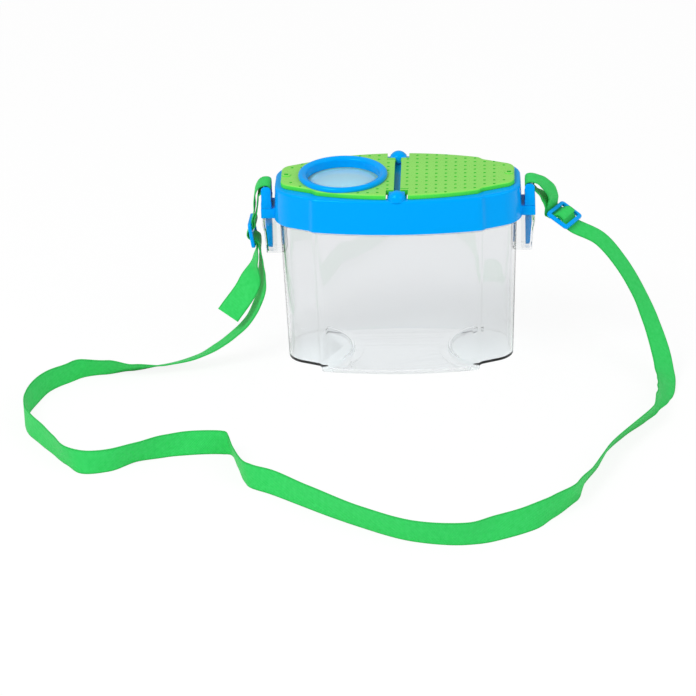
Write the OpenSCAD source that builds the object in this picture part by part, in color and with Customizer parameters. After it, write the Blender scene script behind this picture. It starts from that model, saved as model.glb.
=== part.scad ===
// Plastic pet keeper: a clear tub under a vented two-flap lid with a magnifier,
// and a webbing strap clipped to both ends. Origin at the middle of the tub's foot,
// +X to the right, +Y to the back, +Z up. Millimetres.

/* [Tub] */
// Height of the tub's rim over the ground
tub_h = 103; // [99:0.5:108]
// Wall thickness of the tub
tub_wall = 1.8; // [1.2:0.1:2.6]
// Draft of the tub: foot length as a share of the mouth's length
tub_foot_x = 0.95; // [0.93:0.005:0.99]
// Draft of the tub: foot depth as a share of the mouth's depth
tub_foot_y = 0.98; // [0.96:0.005:1]
// Rise of the floor and the foot at both ends
pad_rise = 3; // [1:0.5:5]
// Radius of the raised round pads in the floor
pad_r = 32; // [24:1:36]
// How far the tips of the two pads lie from the middle
pad_tip_x = 31; // [24:1:40]
// Height of the stop bead that the collar sits on
bead_h = 1.5; // [1:0.1:2.5]

/* [Collar] */
// Length of the collar over its ends
collar_l = 154; // [140:1:170]
// Depth of the collar
collar_w = 77; // [70:1:84]
// Height of the collar's lower edge over the ground
collar_z = 96.5; // [92:0.5:98]
// Height of the collar
collar_h = 22; // [18:0.5:26]
// Wall thickness of the collar
collar_wall = 2; // [1.4:0.1:2.6]
// Thickness of the collar's deck
deck_t = 2.2; // [1.6:0.1:3]
// Height of the rounded upper edge
edge_r = 1.8; // [0.8:0.1:2.4]
// Gap between the collar's skirt and the tub
collar_fit = 0.7; // [0.3:0.05:1]
// Width of the crossbar under the slot of the lid
crossbar_w = 12; // [9:0.5:16]

/* [Hinges] */
// Distance of each hinge axis from the middle
axis_x = 2.6; // [2.2:0.1:3]
// Radius of the hinge domes
dome_r = 5.8; // [5:0.1:6.2]
// Distance of the domes from the middle
dome_y = 32.5; // [31:0.5:34]
// Width of the cheeks under the domes
cheek_w = 10; // [9:0.5:11]
// Radius of the hinge pins
pin_r = 1.1; // [0.9:0.05:1.2]
// Radial clearance of the hinge pins
pin_fit = 0.07; // [0.03:0.01:0.1]

/* [Flaps] */
// Length of one flap from the middle to its end
flap_l = 72.5; // [70:0.5:73.5]
// Depth of the flaps
flap_w = 69.2; // [66:0.2:70]
// Height of the flaps over the deck
flap_h = 3.2; // [2.6:0.1:4]
// Thickness of the flaps' plate
flap_t = 1.8; // [1.2:0.1:2.2]
// Width of the slot between the flaps
slot_w = 4; // [3:0.2:4.4]
// Width of the lip on which each flap rests on the deck
flap_seat = 2; // [1.4:0.1:2.4]
// Pitch of the square vent grid
vent_pitch = 6; // [5.5:0.1:6.4]
// Diameter of a vent hole
vent_d = 1.8; // [1.2:0.1:2.4]
// Diameter of the catch boss at each flap's tip
catch_d = 6; // [5:0.5:7]

/* [Magnifier] */
// Distance of the lens from the middle along the flap
lens_x = 34; // [32:0.5:36]
// Distance of the lens from the middle line, to the front
lens_y = 2.5; // [0:0.5:3.5]
// Outer diameter of the bezel's round lip
bezel_d = 55.6; // [52:0.2:56]
// Radius of the bezel's round lip
lip_r = 1.9; // [1.4:0.1:2.2]
// Diameter of the lens
lens_d = 48; // [44:0.5:48.4]
// Clear opening of the ledge under the lens
ledge_d = 40.6; // [36:0.2:42]
// Thickness of the lens at its rim
lens_edge = 1.5; // [1.2:0.1:2]
// How far the lens bulges up in the middle
lens_rise = 2.6; // [1.5:0.1:3]

/* [Clips] */
// Length of the clip's head along X
clip_l = 6.6; // [6:0.1:7.2]
// Width of the clip's head along Y
clip_w = 18.8; // [18:0.2:20]
// Height of the clip's head
clip_h = 14.2; // [13:0.2:16]
// Height of the base block under the strap's slot
clip_base = 3.8; // [3.4:0.2:5]
// Diameter of the bar that the strap runs over
clip_bar_d = 3.2; // [2.6:0.1:3.4]
// Gap between the clip and the collar's end
clip_gap = 1.6; // [1.2:0.1:2.4]
// Length of the tongue under the clip's head
tongue_l = 28; // [24:0.5:29]
// Width of the tongue
tongue_w = 10; // [8:0.5:11]
// Clearance of the tongue in its bracket
tongue_fit = 0.4; // [0.3:0.05:0.6]
// Thickness of the pocket's walls
pocket_wall = 1; // [0.8:0.1:1.4]

/* [Strap] */
// Width of the webbing
web_w = 15; // [14:0.5:15]
// Thickness of the webbing
web_t = 0.8; // [0.5:0.1:0.9]
// Width of a slider across the webbing
slider_w = 20.5; // [19.6:0.1:22]
// Length of a slider along the webbing
slider_l = 16.5; // [16:0.1:18]
// Thickness of a slider's frame
slider_t = 2.2; // [1.8:0.1:2.4]
// Width of a slider's side rails
rail_w = 2.1; // [1.8:0.1:2.4]
// Width of a slider's end bars
end_bar_w = 2.4; // [1.8:0.1:2.6]
// Width of a slider's middle bar
mid_bar_w = 2.6; // [2:0.1:2.8]

/* [Hidden] */

BIG = 400;
EPS = 0.01;

collar_top = collar_z + collar_h;
flap_top = collar_top + flap_h;
axis_z = collar_top + 1.1;

// ---------- outlines ----------

// One quarter outline: a shallow arc over the front, a step and a rounded end.
// l and w are half sizes, arc_r the front arc's radius, step the step's X and Y run,
// corner the radius of the end's corner and flat the half width of the flat end.
function quarter(l, w, arc_r, step_x, step, corner, flat, turn) =
    let (front = [for (i = [0:5]) let (x = step_x * i / 5) [x, w - x * x / (2 * arc_r)]],
         cx = l - corner,
         step_end = [step_x + step[0], front[5][1] - step[1]],
         ends = [for (i = [0:5]) let (a = turn * (1 - i / 5)) [cx + corner * cos(a), flat + corner * sin(a)]])
    concat(front, [step_end], ends);

// The quarter mirrored to the whole closed outline, counter-clockwise.
function whole(q) =
    let (n = len(q))
    concat([for (i = [n - 1:-1:0]) q[i]],
           [for (i = [1:n - 1]) [-q[i][0], q[i][1]]],
           [for (i = [n - 1:-1:0]) [-q[i][0], -q[i][1]]],
           [for (i = [1:n - 1]) [q[i][0], -q[i][1]]]);

function unit(v) = v / norm(v);

// Moves a closed counter-clockwise outline inward by d, corner by corner.
function inset(p, d) =
    let (n = len(p))
    [for (i = [0:n - 1])
        let (a = unit(p[i] - p[(i + n - 1) % n]), b = unit(p[(i + 1) % n] - p[i]),
             m = unit(a + b), c = max(0.5, a * m))
        p[i] + [-m[1], m[0]] * d / c];

collar_line = whole(quarter(collar_l / 2, collar_w / 2, 250, 52, [3.6, 3], 19, 8, 65));
flap_line = whole(quarter(flap_l, flap_w / 2, 155, 49.5, [4.5, 4.2], 8, 9, 62));
tub_line = inset(collar_line, collar_wall + collar_fit + 0.3);

// ---------- tub ----------

// A solid through stacked closed outlines, each given as [z, points].
module loft(rings) {
    n = len(rings[0][1]);
    m = len(rings);
    points = [for (r = rings, p = r[1]) [p[0], p[1], r[0]]];
    sides = [for (k = [0:m - 2], i = [0:n - 1])
        let (a = k * n + i, b = k * n + (i + 1) % n) each [[a, a + n, b], [b, a + n, b + n]]];
    polyhedron(points, concat([[for (i = [0:n - 1]) i]], sides,
                              [[for (i = [n - 1:-1:0]) (m - 1) * n + i]]), convexity = 6);
}

function scaled(line, fx, fy) = [for (p = line) [p[0] * fx, p[1] * fy]];

// The tub's outline drawn in by d at height z.
function tub_ring(d, z) =
    let (f = z / tub_h)
    [z, scaled(inset(tub_line, d), tub_foot_x + (1 - tub_foot_x) * f, tub_foot_y + (1 - tub_foot_y) * f)];

module tub_solid(d, z0, z1) loft([tub_ring(d, z0), tub_ring(d, z1)]);

// The raised floor of both ends: a half round tip, open towards the end.
module pad(r, z0, z1) {
    for (s = [0, 1])
        mirror([s, 0, 0]) translate([pad_tip_x + pad_r, 0, z0]) linear_extrude(height = z1 - z0)
            polygon(concat([[pad_r, -r]], [for (i = [0:16]) let (a = 270 - 180 * i / 16) r * [cos(a), sin(a)]],
                           [[pad_r, r]]));
}

pocket_z = [72, 86, 91, collar_z - 0.5];

// Side view of the pocket, drawn in by d; x grows outward.
module pocket_side(d) {
    x = collar_l / 2 + clip_gap + clip_l;
    polygon([[collar_l / 2 - 4.5 + 3.6 * d, pocket_z[0] + d], [x - 2.2 - d, pocket_z[0] + d],
             [x - 1.1 - d, pocket_z[1]], [x - 0.1 - d, pocket_z[2]],
             [x - 0.1 - d, pocket_z[3] + d], [collar_l / 2 - 4.5 + 3.6 * d, pocket_z[3] + d]]);
}

module pocket(d, w) {
    for (s = [0, 1])
        mirror([s, 0, 0]) rotate([90, 0, 0]) translate([0, 0, -w / 2])
            linear_extrude(height = w) pocket_side(d);
}

module tub() color([0.9, 0.93, 0.94, 0.35]) {
    difference() {
        union() {
            tub_solid(0, 0, tub_h);
            translate([0, 0, collar_z - bead_h])
                linear_extrude(height = bead_h) polygon(inset(tub_line, -1.2));
            pocket(0, tongue_w + 2 * tongue_fit + 2 * pocket_wall);
        }
        difference() {
            tub_solid(tub_wall, tub_wall, tub_h + EPS);
            pad(pad_r + tub_wall, 0, tub_wall + pad_rise);
        }
        pad(pad_r, -1, pad_rise);
        pocket(pocket_wall, tongue_w + 2 * tongue_fit);
    }
}

// ---------- collar ----------

// The collar's outside: a slight draft and a rounded upper edge.
module collar_shell() {
    top = [0.99, 0.98];
    loft(concat([[collar_z, collar_line]],
                [for (a = [0:30:90])
                    [collar_top - edge_r * (1 - sin(a)),
                     inset(scaled(collar_line, top[0], top[1]), edge_r * (1 - cos(a)))]]));
}

module window() {
    translate([0, 0, collar_top - deck_t - 1]) linear_extrude(height = deck_t + 2)
        difference() {
            union() {
                polygon(inset(flap_line, flap_seat));
                translate([lens_at[0], lens_at[1]]) circle(r = well_r + well_wall + well_fit, $fn = 96);
            }
            for (s = [-1, 1])
                translate([-crossbar_w / 2, s > 0 ? cheek_y : -cheek_y - 20]) square([crossbar_w, 20]);
        }
}

cheek_y = 27.6;
cheek_h = 2.9;
pin_reach = 2.6;

// The magnifier's well in the left flap; the window makes room for it.
lens_at = [-lens_x, -lens_y, 0];
skirt_r = bezel_d / 2 - lip_r * 2 + 0.3;
well_r = skirt_r + 0.2;
well_wall = 1.3;
well_fit = 0.4;
ledge_z = flap_top - 5.2;

module hinge_post(s) {
    translate([0, s * dome_y, collar_top - 0.7]) difference() {
        sphere(r = dome_r, $fn = 64);
        translate([-dome_r, -dome_r, -2 * dome_r]) cube([2 * dome_r, 2 * dome_r, 2 * dome_r]);
    }
    translate([-cheek_w / 2, s > 0 ? cheek_y : -cheek_y - 6, collar_top - EPS])
        cube([cheek_w, 6, cheek_h]);
}

bracket_z = [collar_z, collar_z + 6.5];
bracket_x = [collar_l / 2 - 3, collar_l / 2 + clip_gap + clip_l + 0.1];

module collar() color("deepskyblue") {
    difference() {
        union() {
            difference() {
                collar_shell();
                translate([0, 0, collar_z - 1]) linear_extrude(height = collar_h - deck_t + 1)
                    polygon(inset(collar_line, collar_wall));
                window();
            }
            translate([-crossbar_w / 2, -collar_w / 2 + 1.5, collar_top - deck_t - 2.4])
                cube([crossbar_w, collar_w - 3, 2.5]);
            for (s = [-1, 1]) {
                hinge_post(s);
                translate([s > 0 ? bracket_x[0] : -bracket_x[1], -clip_w / 2, bracket_z[0]])
                    cube([bracket_x[1] - bracket_x[0], clip_w, bracket_z[1] - bracket_z[0]]);
            }
        }
        for (sx = [-1, 1], sy = [-1, 1])
            translate([sx * axis_x, sy * (cheek_y - 1), axis_z])
                rotate([-sy * 90, 0, 0]) cylinder(r = pin_r + pin_fit, h = 5.2, $fn = 32);
        for (s = [-1, 1])
            translate([s > 0 ? tongue_x[0] - tongue_fit : -tongue_x[1] - tongue_fit,
                       -tongue_w / 2 - tongue_fit, collar_z - 1])
                cube([tongue_x[1] - tongue_x[0] + 2 * tongue_fit, tongue_w + 2 * tongue_fit, 9]);
    }
}

// ---------- flaps ----------

// Rows of vent holes in each column of the right flap, as first and last row.
vent_rows = [[-3, 4], [-5, 5], [-5, 5], [-5, 5], [-5, 5], [-4, 4], [-4, 4], [-4, 4], [-3, 3], [-3, 3]];

module vent(x, y) {
    translate([x, y, collar_top - 1]) cylinder(d = vent_d, h = flap_h + 2, $fn = 16);
}

// The vents of one flap, left out within clear_r of the point clear_at.
module vents(clear_at, clear_r) {
    for (i = [0:len(vent_rows) - 1], j = [vent_rows[i][0]:vent_rows[i][1]])
        if (norm([(i + 1) * vent_pitch, j * vent_pitch] - clear_at) > clear_r)
            vent((i + 1) * vent_pitch, j * vent_pitch);
    for (s = [-1, 1]) vent(11 * vent_pitch, 2 * s * vent_pitch);
}

finger_y = 24.2;

// The right flap's plate; the left flap is the same piece turned half round.
module flap_body() {
    x0 = slot_w / 2;
    notch_x = dome_r + 1;
    notch_y = min(cheek_y, dome_y - dome_r) - 0.35;
    difference() {
        union() {
            translate([0, 0, collar_top]) linear_extrude(height = flap_h - 0.7)
                polygon(flap_line);
            translate([0, 0, flap_top - 0.7 - EPS]) linear_extrude(height = 0.7 + EPS)
                polygon(inset(flap_line, 0.6));
        }
        translate([0, 0, collar_top - 1]) linear_extrude(height = flap_h - flap_t + 1)
            intersection() {
                polygon(inset(flap_line, flap_seat + 1));
                translate([x0 + 3, -notch_y + 1.6]) square([BIG, 2 * notch_y - 3.2]);
            }
        translate([-BIG, -BIG / 2, 0]) cube([BIG + x0, BIG, BIG]);
        for (s = [-1, 1])
            translate([-1, s > 0 ? notch_y : -notch_y - 20, 0]) cube([notch_x + 1, 20, BIG]);
        translate([0, -finger_y - 0.5, 0]) cube([notch_x + 0.4, 1, BIG]);
        translate([flap_l - 4.5, -1.2, 0]) cube([2.4, 2.4, BIG]);
    }
    for (s = [-1, 1])
        translate([axis_x, s * (notch_y - 1), axis_z]) rotate([-s * 90, 0, 0])
            cylinder(r = pin_r, h = cheek_y + pin_reach - notch_y + 1, $fn = 32);
    translate([flap_l - 3.3, 0, flap_top - EPS]) difference() {
        cylinder(d = catch_d - 1, h = 0.5, $fn = 32);
        translate([-1.2, -1.2, -1]) cube([2.4, 2.4, 3]);
    }
}

module vent_flap_right() color("yellowgreen") {
    difference() {
        flap_body();
        vents([0, 0], 0);
    }
}

module vent_flap_left() color("yellowgreen") {
    difference() {
        union() {
            rotate([0, 0, 180]) difference() {
                flap_body();
                vents([lens_x, lens_y], bezel_d / 2 + 1.2);
            }
            translate([lens_at[0], lens_at[1], ledge_z - 1.4])
                cylinder(r = well_r + well_wall, h = flap_top - 0.6 - ledge_z + 1.4, $fn = 96);
        }
        translate([lens_at[0], lens_at[1], ledge_z]) cylinder(r = well_r, h = BIG, $fn = 96);
        translate([lens_at[0], lens_at[1], 0]) cylinder(d = ledge_d, h = BIG, $fn = 96);
    }
}

module lens_bezel() color("deepskyblue") {
    lip_at = bezel_d / 2 - lip_r;
    translate(lens_at) rotate_extrude($fn = 96) {
        // the lip is flat where it sits on the flap
        difference() {
            translate([lip_at, flap_top + lip_r * 0.55]) circle(r = lip_r, $fn = 32);
            translate([skirt_r, flap_top + 0.03 - 2 * lip_r]) square(2 * lip_r);
        }
        translate([skirt_r - 1.6, ledge_z + lens_edge + 0.05])
            square([1.6, flap_top - ledge_z - lens_edge + lip_r * 0.5]);
    }
}

module lens() color([0.85, 0.93, 1, 0.5]) {
    dome = skirt_r - 1.8;
    ball = (dome * dome + lens_rise * lens_rise) / (2 * lens_rise);
    turn = asin(dome / ball);
    translate([lens_at[0], lens_at[1], ledge_z]) rotate_extrude($fn = 96)
        polygon(concat([[0, 0], [lens_d / 2, 0], [lens_d / 2, lens_edge]],
                       [for (i = [0:8]) let (a = turn * (1 - i / 8))
                           [ball * sin(a), lens_edge + lens_rise - ball + ball * cos(a)]]));
}

// ---------- clips ----------

clip_x = [collar_l / 2 + clip_gap, collar_l / 2 + clip_gap + clip_l];
tongue_x = [clip_x[0] + 0.3, clip_x[0] + 4.3];
clip_z = bracket_z[1];
bar_r = clip_bar_d / 2;
bar_at = [clip_x[0] + 3.5, clip_z + clip_h - bar_r - 0.2];
cheek_in = web_w / 2 + 0.3;

// The right clip; the left one is its mirror image.
module strap_clip() {
    // head: base block, two cheeks and the strap's bar
    translate([clip_x[0], -clip_w / 2, clip_z]) cube([clip_l, clip_w, clip_base]);
    for (s = [-1, 1])
        translate([clip_x[0] + 0.3, s > 0 ? cheek_in : -clip_w / 2, clip_z + clip_base - EPS])
            cube([clip_l - 0.6, clip_w / 2 - cheek_in, clip_h - clip_base]);
    translate([bar_at[0], 0, bar_at[1]]) rotate([90, 0, 0])
        cylinder(r = bar_r, h = 2 * cheek_in + 1, center = true, $fn = 32);
    // tongue, thinner towards its tip
    rotate([90, 0, 0]) translate([0, 0, -tongue_w / 2]) linear_extrude(height = tongue_w)
        polygon([[tongue_x[0], clip_z + 1], [tongue_x[0], clip_z - tongue_l],
                 [tongue_x[1] - 2, clip_z - tongue_l], [tongue_x[1] - 1.2, clip_z - tongue_l + 1.5],
                 [tongue_x[1], clip_z - 12], [tongue_x[1], clip_z + 1]]);
}

module strap_clip_right() color("deepskyblue") strap_clip();
module strap_clip_left() color("deepskyblue") mirror([1, 0, 0]) strap_clip();

// ---------- sliders ----------

// Where each slider lies and how it is turned: along the webbing is its own X.
left_at = [-91.3, 0, 84.6];
left_turn = [180, 82, -3];
right_at = [103.2, -2.5, 93.4];
right_turn = [3, 28, -28];

module slider() {
    corner = 2;
    window_y = slider_w / 2 - rail_w;
    difference() {
        translate([0, 0, -slider_t / 2]) linear_extrude(height = slider_t) {
            square([slider_l - 2 * corner, slider_w], center = true);
            square([slider_l, slider_w - 2 * corner], center = true);
            for (sx = [-1, 1], sy = [-1, 1])
                translate([sx * (slider_l / 2 - corner), sy * (slider_w / 2 - corner)])
                    circle(r = corner, $fn = 32);
        }
        for (s = [0, 1])
            mirror([s, 0, 0]) translate([mid_bar_w / 2, -window_y, -slider_t])
                cube([slider_l / 2 - end_bar_w - mid_bar_w / 2, 2 * window_y, 2 * slider_t]);
        // the middle bar is thinner than the frame
        for (s = [0, 1])
            mirror([0, 0, s]) translate([-mid_bar_w / 2 - EPS, -window_y, 0.5])
                cube([mid_bar_w + 2 * EPS, 2 * window_y, slider_t]);
    }
}

module slider_left() color("deepskyblue") translate(left_at) rotate(left_turn) slider();
module slider_right() color("deepskyblue") translate(right_at) rotate(right_turn) slider();

// ---------- strap ----------

// A vector turned about X, then Y, then Z by the three angles of r.
function turned(v, r) =
    let (a = [v[0], v[1] * cos(r[0]) - v[2] * sin(r[0]), v[1] * sin(r[0]) + v[2] * cos(r[0])],
         b = [a[0] * cos(r[1]) + a[2] * sin(r[1]), a[1], -a[0] * sin(r[1]) + a[2] * cos(r[1])])
    [b[0] * cos(r[2]) - b[1] * sin(r[2]), b[0] * sin(r[2]) + b[1] * cos(r[2]), b[2]];

// Stations of a strand in a slider, each given as [along, height] in the slider's frame;
// side says which way the webbing's width points.
function weave(at, turn, side, us) =
    [for (u = us) concat(at + turned([u[0], 0, u[1]], turn), turned([0, side, 0], turn))];

function reversed(p) = [for (i = [len(p) - 1:-1:0]) p[i]];

// Each station of the route is [x, y, z, and the direction of the webbing's width].
tail_route = [
    [-108, -14, 33, 0.75, -0.27, -0.6], [-95, -6, 50, 0.65, -0.5, -0.55],
    [-90.2, -2, 66, 0.1, -0.95, -0.3]];
outer_left = weave(left_at, left_turn, 1,
    [[9, -1.6], [5.4, -1.6], [1.7, 2.5], [-1.7, 2.5], [-5.4, -1.6], [-9, -1.6]]);
bar_left = [
    [-89.7, 0, 99, 0, -1, 0], [-89.6, 0, 106, 0, -1, 0], [-88.5, 0, 112.5, 0, -1, 0],
    [-85.8, 0, 116.8, 0, -1, 0], [-82.3, 0, 117.9, 0, -1, 0], [-80, 0, 117.2, 0, -1, 0],
    [-79.2, 0, 114.8, 0, -1, 0], [-81, 0, 112.6, 0, -1, 0], [-84.6, 0, 112.4, 0, -1, 0],
    [-86.6, 0, 110.8, 0, -1, 0], [-87.4, 0, 107, 0, -1, 0], [-88, 0, 100, 0, -1, 0]];
inner_left = weave(left_at, left_turn, 1,
    [[-9, -3], [-5.4, -3], [-1.7, 1.1], [1.7, 1.1], [5.4, -3], [9, -3]]);
riser_left = [
    [-86.6, -1, 65, 0.2, -0.98, 0], [-86.4, -2, 56, 0.32, -0.94, 0.08], [-86.8, -4, 47, 0.36, -0.92, 0.12],
    [-90, -6, 37, 0.3, -0.94, 0.12], [-96, -9, 27, 0.22, -0.96, 0.12], [-105, -12, 19, 0.2, -0.95, 0.15],
    [-115, -15, 12.5, 0.2, -0.95, 0.2], [-128, -19, 7, 0.1, -0.95, 0.28]];
floor_route = [
    [-148, -23, 3.5, 0, -0.93, 0.37], [-168, -29, 4.6, -0.24, -0.77, 0.59],
    [-184, -32, 6.3, -0.29, -0.5, 0.81], [-200, -35, 6.8, -0.33, -0.35, 0.87],
    [-209, -43, 7, -0.2, -0.35, 0.91], [-219, -54, 7.3, -0.17, -0.25, 0.95],
    [-226, -71, 7.5, -0.18, 0.05, 0.98], [-229.5, -88, 7.5, -0.1, 0, 0.98],
    [-229, -104, 7.5, 0, -0.1, 0.99], [-225, -116, 7.5, 0.1, -0.1, 0.98],
    [-217, -130, 7.5, 0.1, -0.15, 0.97], [-208, -146, 7.5, 0, -0.2, 0.98],
    [-200, -160, 7.5, -0.1, -0.2, 0.98], [-189, -170, 7.5, 0, 0.1, 1],
    [-173, -168, 7.5, 0, 0, 1], [-157, -157, 7.5, 0, -0.25, 0.97],
    [-140, -149, 7.5, -0.1, 0, 0.97], [-124, -145, 7.5, -0.2, 0.2, 0.95],
    [-106, -145, 7.5, -0.2, 0.18, 0.97], [-102, -147, 7.5, -0.25, 0.15, 0.97],
    [-97, -165, 7.5, -0.25, 0.1, 0.95], [-91, -185, 7.5, -0.15, 0.1, 0.97],
    [-86, -192, 7.5, 0, 0.15, 0.97], [-74, -200, 7.5, 0.1, 0.2, 0.96],
    [-52, -220, 7.5, 0.2, -0.1, 0.97], [-19, -248, 7.5, 0.03, -0.15, 0.99],
    [12, -267, 7.5, 0, -0.15, 0.99], [43, -271, 7.5, 0, -0.07, 1],
    [62, -262, 7.2, -0.14, 0.3, 0.93], [80, -250, 7, -0.4, 0.1, 0.9],
    [93, -236, 7, -0.27, -0.3, 0.91], [107, -216, 6.5, -0.14, -0.57, 0.8],
    [114, -194, 6, 0.19, -0.63, 0.75], [122, -173, 6.6, 0.27, -0.42, 0.87],
    [129, -151, 6, 0.3, -0.57, 0.76], [141, -129, 6.3, 0.5, -0.27, 0.8],
    [153, -109, 6.5, 0.25, -0.5, 0.83], [158.5, -92, 6, -0.2, -0.6, 0.75],
    [162.5, -78, 5.6, -0.5, -0.5, 0.7]];
riser_right = [
    [164.5, -65, 6.5, -0.68, -0.45, 0.55], [164, -50, 9, -0.74, -0.58, 0.32],
    [161.5, -35, 17, -0.75, -0.63, 0.2], [156, -23, 31, -0.62, -0.78, 0.08],
    [149, -15, 46, -0.5, -0.86, 0.05], [138, -9, 64, -0.46, -0.88, 0],
    [125, -6, 79, -0.48, -0.88, 0]];
inner_right = weave(right_at, right_turn, -1,
    [[9, -1.9], [5.4, -1.7], [1.7, 1.1], [-1.7, 1.1], [-5.4, -3], [-9, -3]]);
bar_right = [
    [93, 0, 102.2, -0.35, -0.93, 0], [90.2, 0.1, 105.2, -0.2, -0.97, 0.1], [87.2, 0, 108.5, 0, -0.97, 0.2],
    [84.6, 0, 111.3, 0, -0.98, 0.18], [81.4, 0, 112.7, 0, -1, 0], [79.2, 0, 114.8, 0, -1, 0],
    [80, 0, 117.2, 0, -1, 0], [82.3, 0, 117.9, 0, -1, 0], [86.5, 0, 117, 0, -1, 0],
    [91.8, 0.2, 113, -0.1, -0.98, -0.15], [95.8, 1, 107, -0.3, -0.95, -0.1], [96.2, 1.3, 101.5, -0.45, -0.89, 0]];
outer_right = weave(right_at, right_turn, -1,
    [[-9, -1.6], [-5.4, -1.6], [-1.7, 2.5], [1.7, 2.5], [2.8, 2]]);

// The floor stretch has a ring at every second station.
floor_rings = [for (i = [0:2:len(floor_route) - 1]) floor_route[i]];

parts_of_route = [tail_route, concat(outer_left, bar_left, inner_left), riser_left, floor_rings,
                  riser_right, concat(inner_right, bar_right, outer_right)];
route = [for (p = parts_of_route, q = p) q];

function spot(i) = [route[i][0], route[i][1], route[i][2]];
function tangent(i) =
    unit((i > 0 ? unit(spot(i) - spot(i - 1)) : [0, 0, 0])
         + (i < len(route) - 1 ? unit(spot(i + 1) - spot(i)) : [0, 0, 0]));

// The webbing's section: a flat strip with bevelled edges.
section = [
    [web_w / 2, web_t * 0.2], [web_w / 2 - 0.5, web_t / 2], [0.5 - web_w / 2, web_t / 2],
    [-web_w / 2, web_t * 0.2], [-web_w / 2, -web_t * 0.2], [0.5 - web_w / 2, -web_t / 2],
    [web_w / 2 - 0.5, -web_t / 2], [web_w / 2, -web_t * 0.2]];

function ring(i) =
    let (t = tangent(i), w = [route[i][3], route[i][4], route[i][5]],
         across = unit(w - (w * t) * t), face = cross(t, across))
    [for (p = section) spot(i) + across * p[0] + face * p[1]];

// The webbing from station a to station b of the route. Both faces of a twisted
// stretch are split along the same diagonal, so that it keeps its thickness.
module webbing(a, b) {
    n = len(section);
    m = b - a;
    points = [for (i = [a:b]) each ring(i)];
    sides = [for (k = [0:m - 1], i = [0:n - 1])
        let (p = k * n + i, q = k * n + (i + 1) % n)
        each (i < n / 2 ? [[p, q, p + n], [q, q + n, p + n]] : [[p, q, q + n], [p, q + n, p + n]])];
    color("springgreen")
        polyhedron(points, concat([[for (i = [n - 1:-1:0]) i]], sides,
                                  [[for (i = [0:n - 1]) m * n + i]]), convexity = 10);
}

at_loop_left = len(tail_route);
at_riser_left = at_loop_left + len(parts_of_route[1]) - 1;
at_floor = at_riser_left + len(riser_left) + 1;
at_riser_right = at_floor + len(floor_rings) - 1;
at_loop_right = at_riser_right + len(riser_right) + 1;
upper_left = 5;
upper_right = 4;

module strap_tail_left() webbing(0, at_loop_left);
module strap_loop_left() webbing(at_loop_left, at_riser_left);
module strap_riser_left_upper() webbing(at_riser_left, at_riser_left + upper_left);
module strap_riser_left_lower() webbing(at_riser_left + upper_left, at_floor + 1);
module strap_floor_run() webbing(at_floor + 1, at_riser_right - 1);
module strap_riser_right_lower() webbing(at_riser_right - 1, at_loop_right - upper_right);
module strap_riser_right_upper() webbing(at_loop_right - upper_right, at_loop_right);
module strap_loop_right() webbing(at_loop_right, len(route) - 1);

tub();
collar();
vent_flap_left();
vent_flap_right();
lens_bezel();
lens();
strap_clip_left();
strap_clip_right();
slider_left();
slider_right();
strap_tail_left();
strap_loop_left();
strap_riser_left_upper();
strap_riser_left_lower();
strap_floor_run();
strap_riser_right_lower();
strap_riser_right_upper();
strap_loop_right();
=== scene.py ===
"""Clear pet keeper with a vented two-flap lid, a magnifier and a webbing strap.

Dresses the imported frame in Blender 4.5. Sizes are in millimetres in the row frame, the
frame of the source: +X along the lid, +Y to the back, +Z up, the ground at zero.
"""

import logging
import math
from dataclasses import dataclass, field, replace
from enum import Enum
from typing import Any, Sequence

import bmesh
import bpy
from mathutils import Euler, Matrix, Vector


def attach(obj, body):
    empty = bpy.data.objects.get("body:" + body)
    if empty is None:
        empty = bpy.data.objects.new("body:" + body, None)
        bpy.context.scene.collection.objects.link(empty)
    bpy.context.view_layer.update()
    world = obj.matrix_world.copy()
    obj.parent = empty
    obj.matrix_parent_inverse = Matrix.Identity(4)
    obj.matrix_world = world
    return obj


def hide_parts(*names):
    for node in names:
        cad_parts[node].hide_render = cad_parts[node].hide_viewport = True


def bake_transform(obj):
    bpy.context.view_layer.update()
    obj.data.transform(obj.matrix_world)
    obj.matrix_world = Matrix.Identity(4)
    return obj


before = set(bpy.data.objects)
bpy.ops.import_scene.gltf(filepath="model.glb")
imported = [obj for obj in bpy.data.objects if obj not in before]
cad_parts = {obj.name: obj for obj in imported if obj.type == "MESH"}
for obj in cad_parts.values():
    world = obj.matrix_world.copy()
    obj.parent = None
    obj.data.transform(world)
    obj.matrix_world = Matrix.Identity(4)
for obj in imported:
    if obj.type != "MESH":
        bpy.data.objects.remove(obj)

LOG = logging.getLogger("keeper")
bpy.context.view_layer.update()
MM = 0.001

Point2 = tuple[float, float]
Point3 = tuple[float, float, float]
Station = tuple[float, float, float, float, float, float]

# a quarter turn in three steps, in radians
QUARTER_TURN = (0.0, 0.52, 1.05, 1.57)


class Body(str, Enum):
    """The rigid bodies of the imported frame."""

    TUB = "tub"
    COLLAR = "collar"
    FLAP_LEFT = "flap_left"
    FLAP_RIGHT = "flap_right"
    CLIP_LEFT = "clip_left"
    CLIP_RIGHT = "clip_right"


class Side(Enum):
    """Which end of the keeper a piece sits on; the value is the sign of its X."""

    LEFT = -1
    RIGHT = 1

    @property
    def word(self) -> str:
        """The side's name, as pieces and nodes use it."""
        return self.name.lower()

    @property
    def clip(self) -> Body:
        """The body of the strap clip on this side."""
        return Body.CLIP_LEFT if self is Side.LEFT else Body.CLIP_RIGHT


# ---------------------------------------------------------------- finishes


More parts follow.
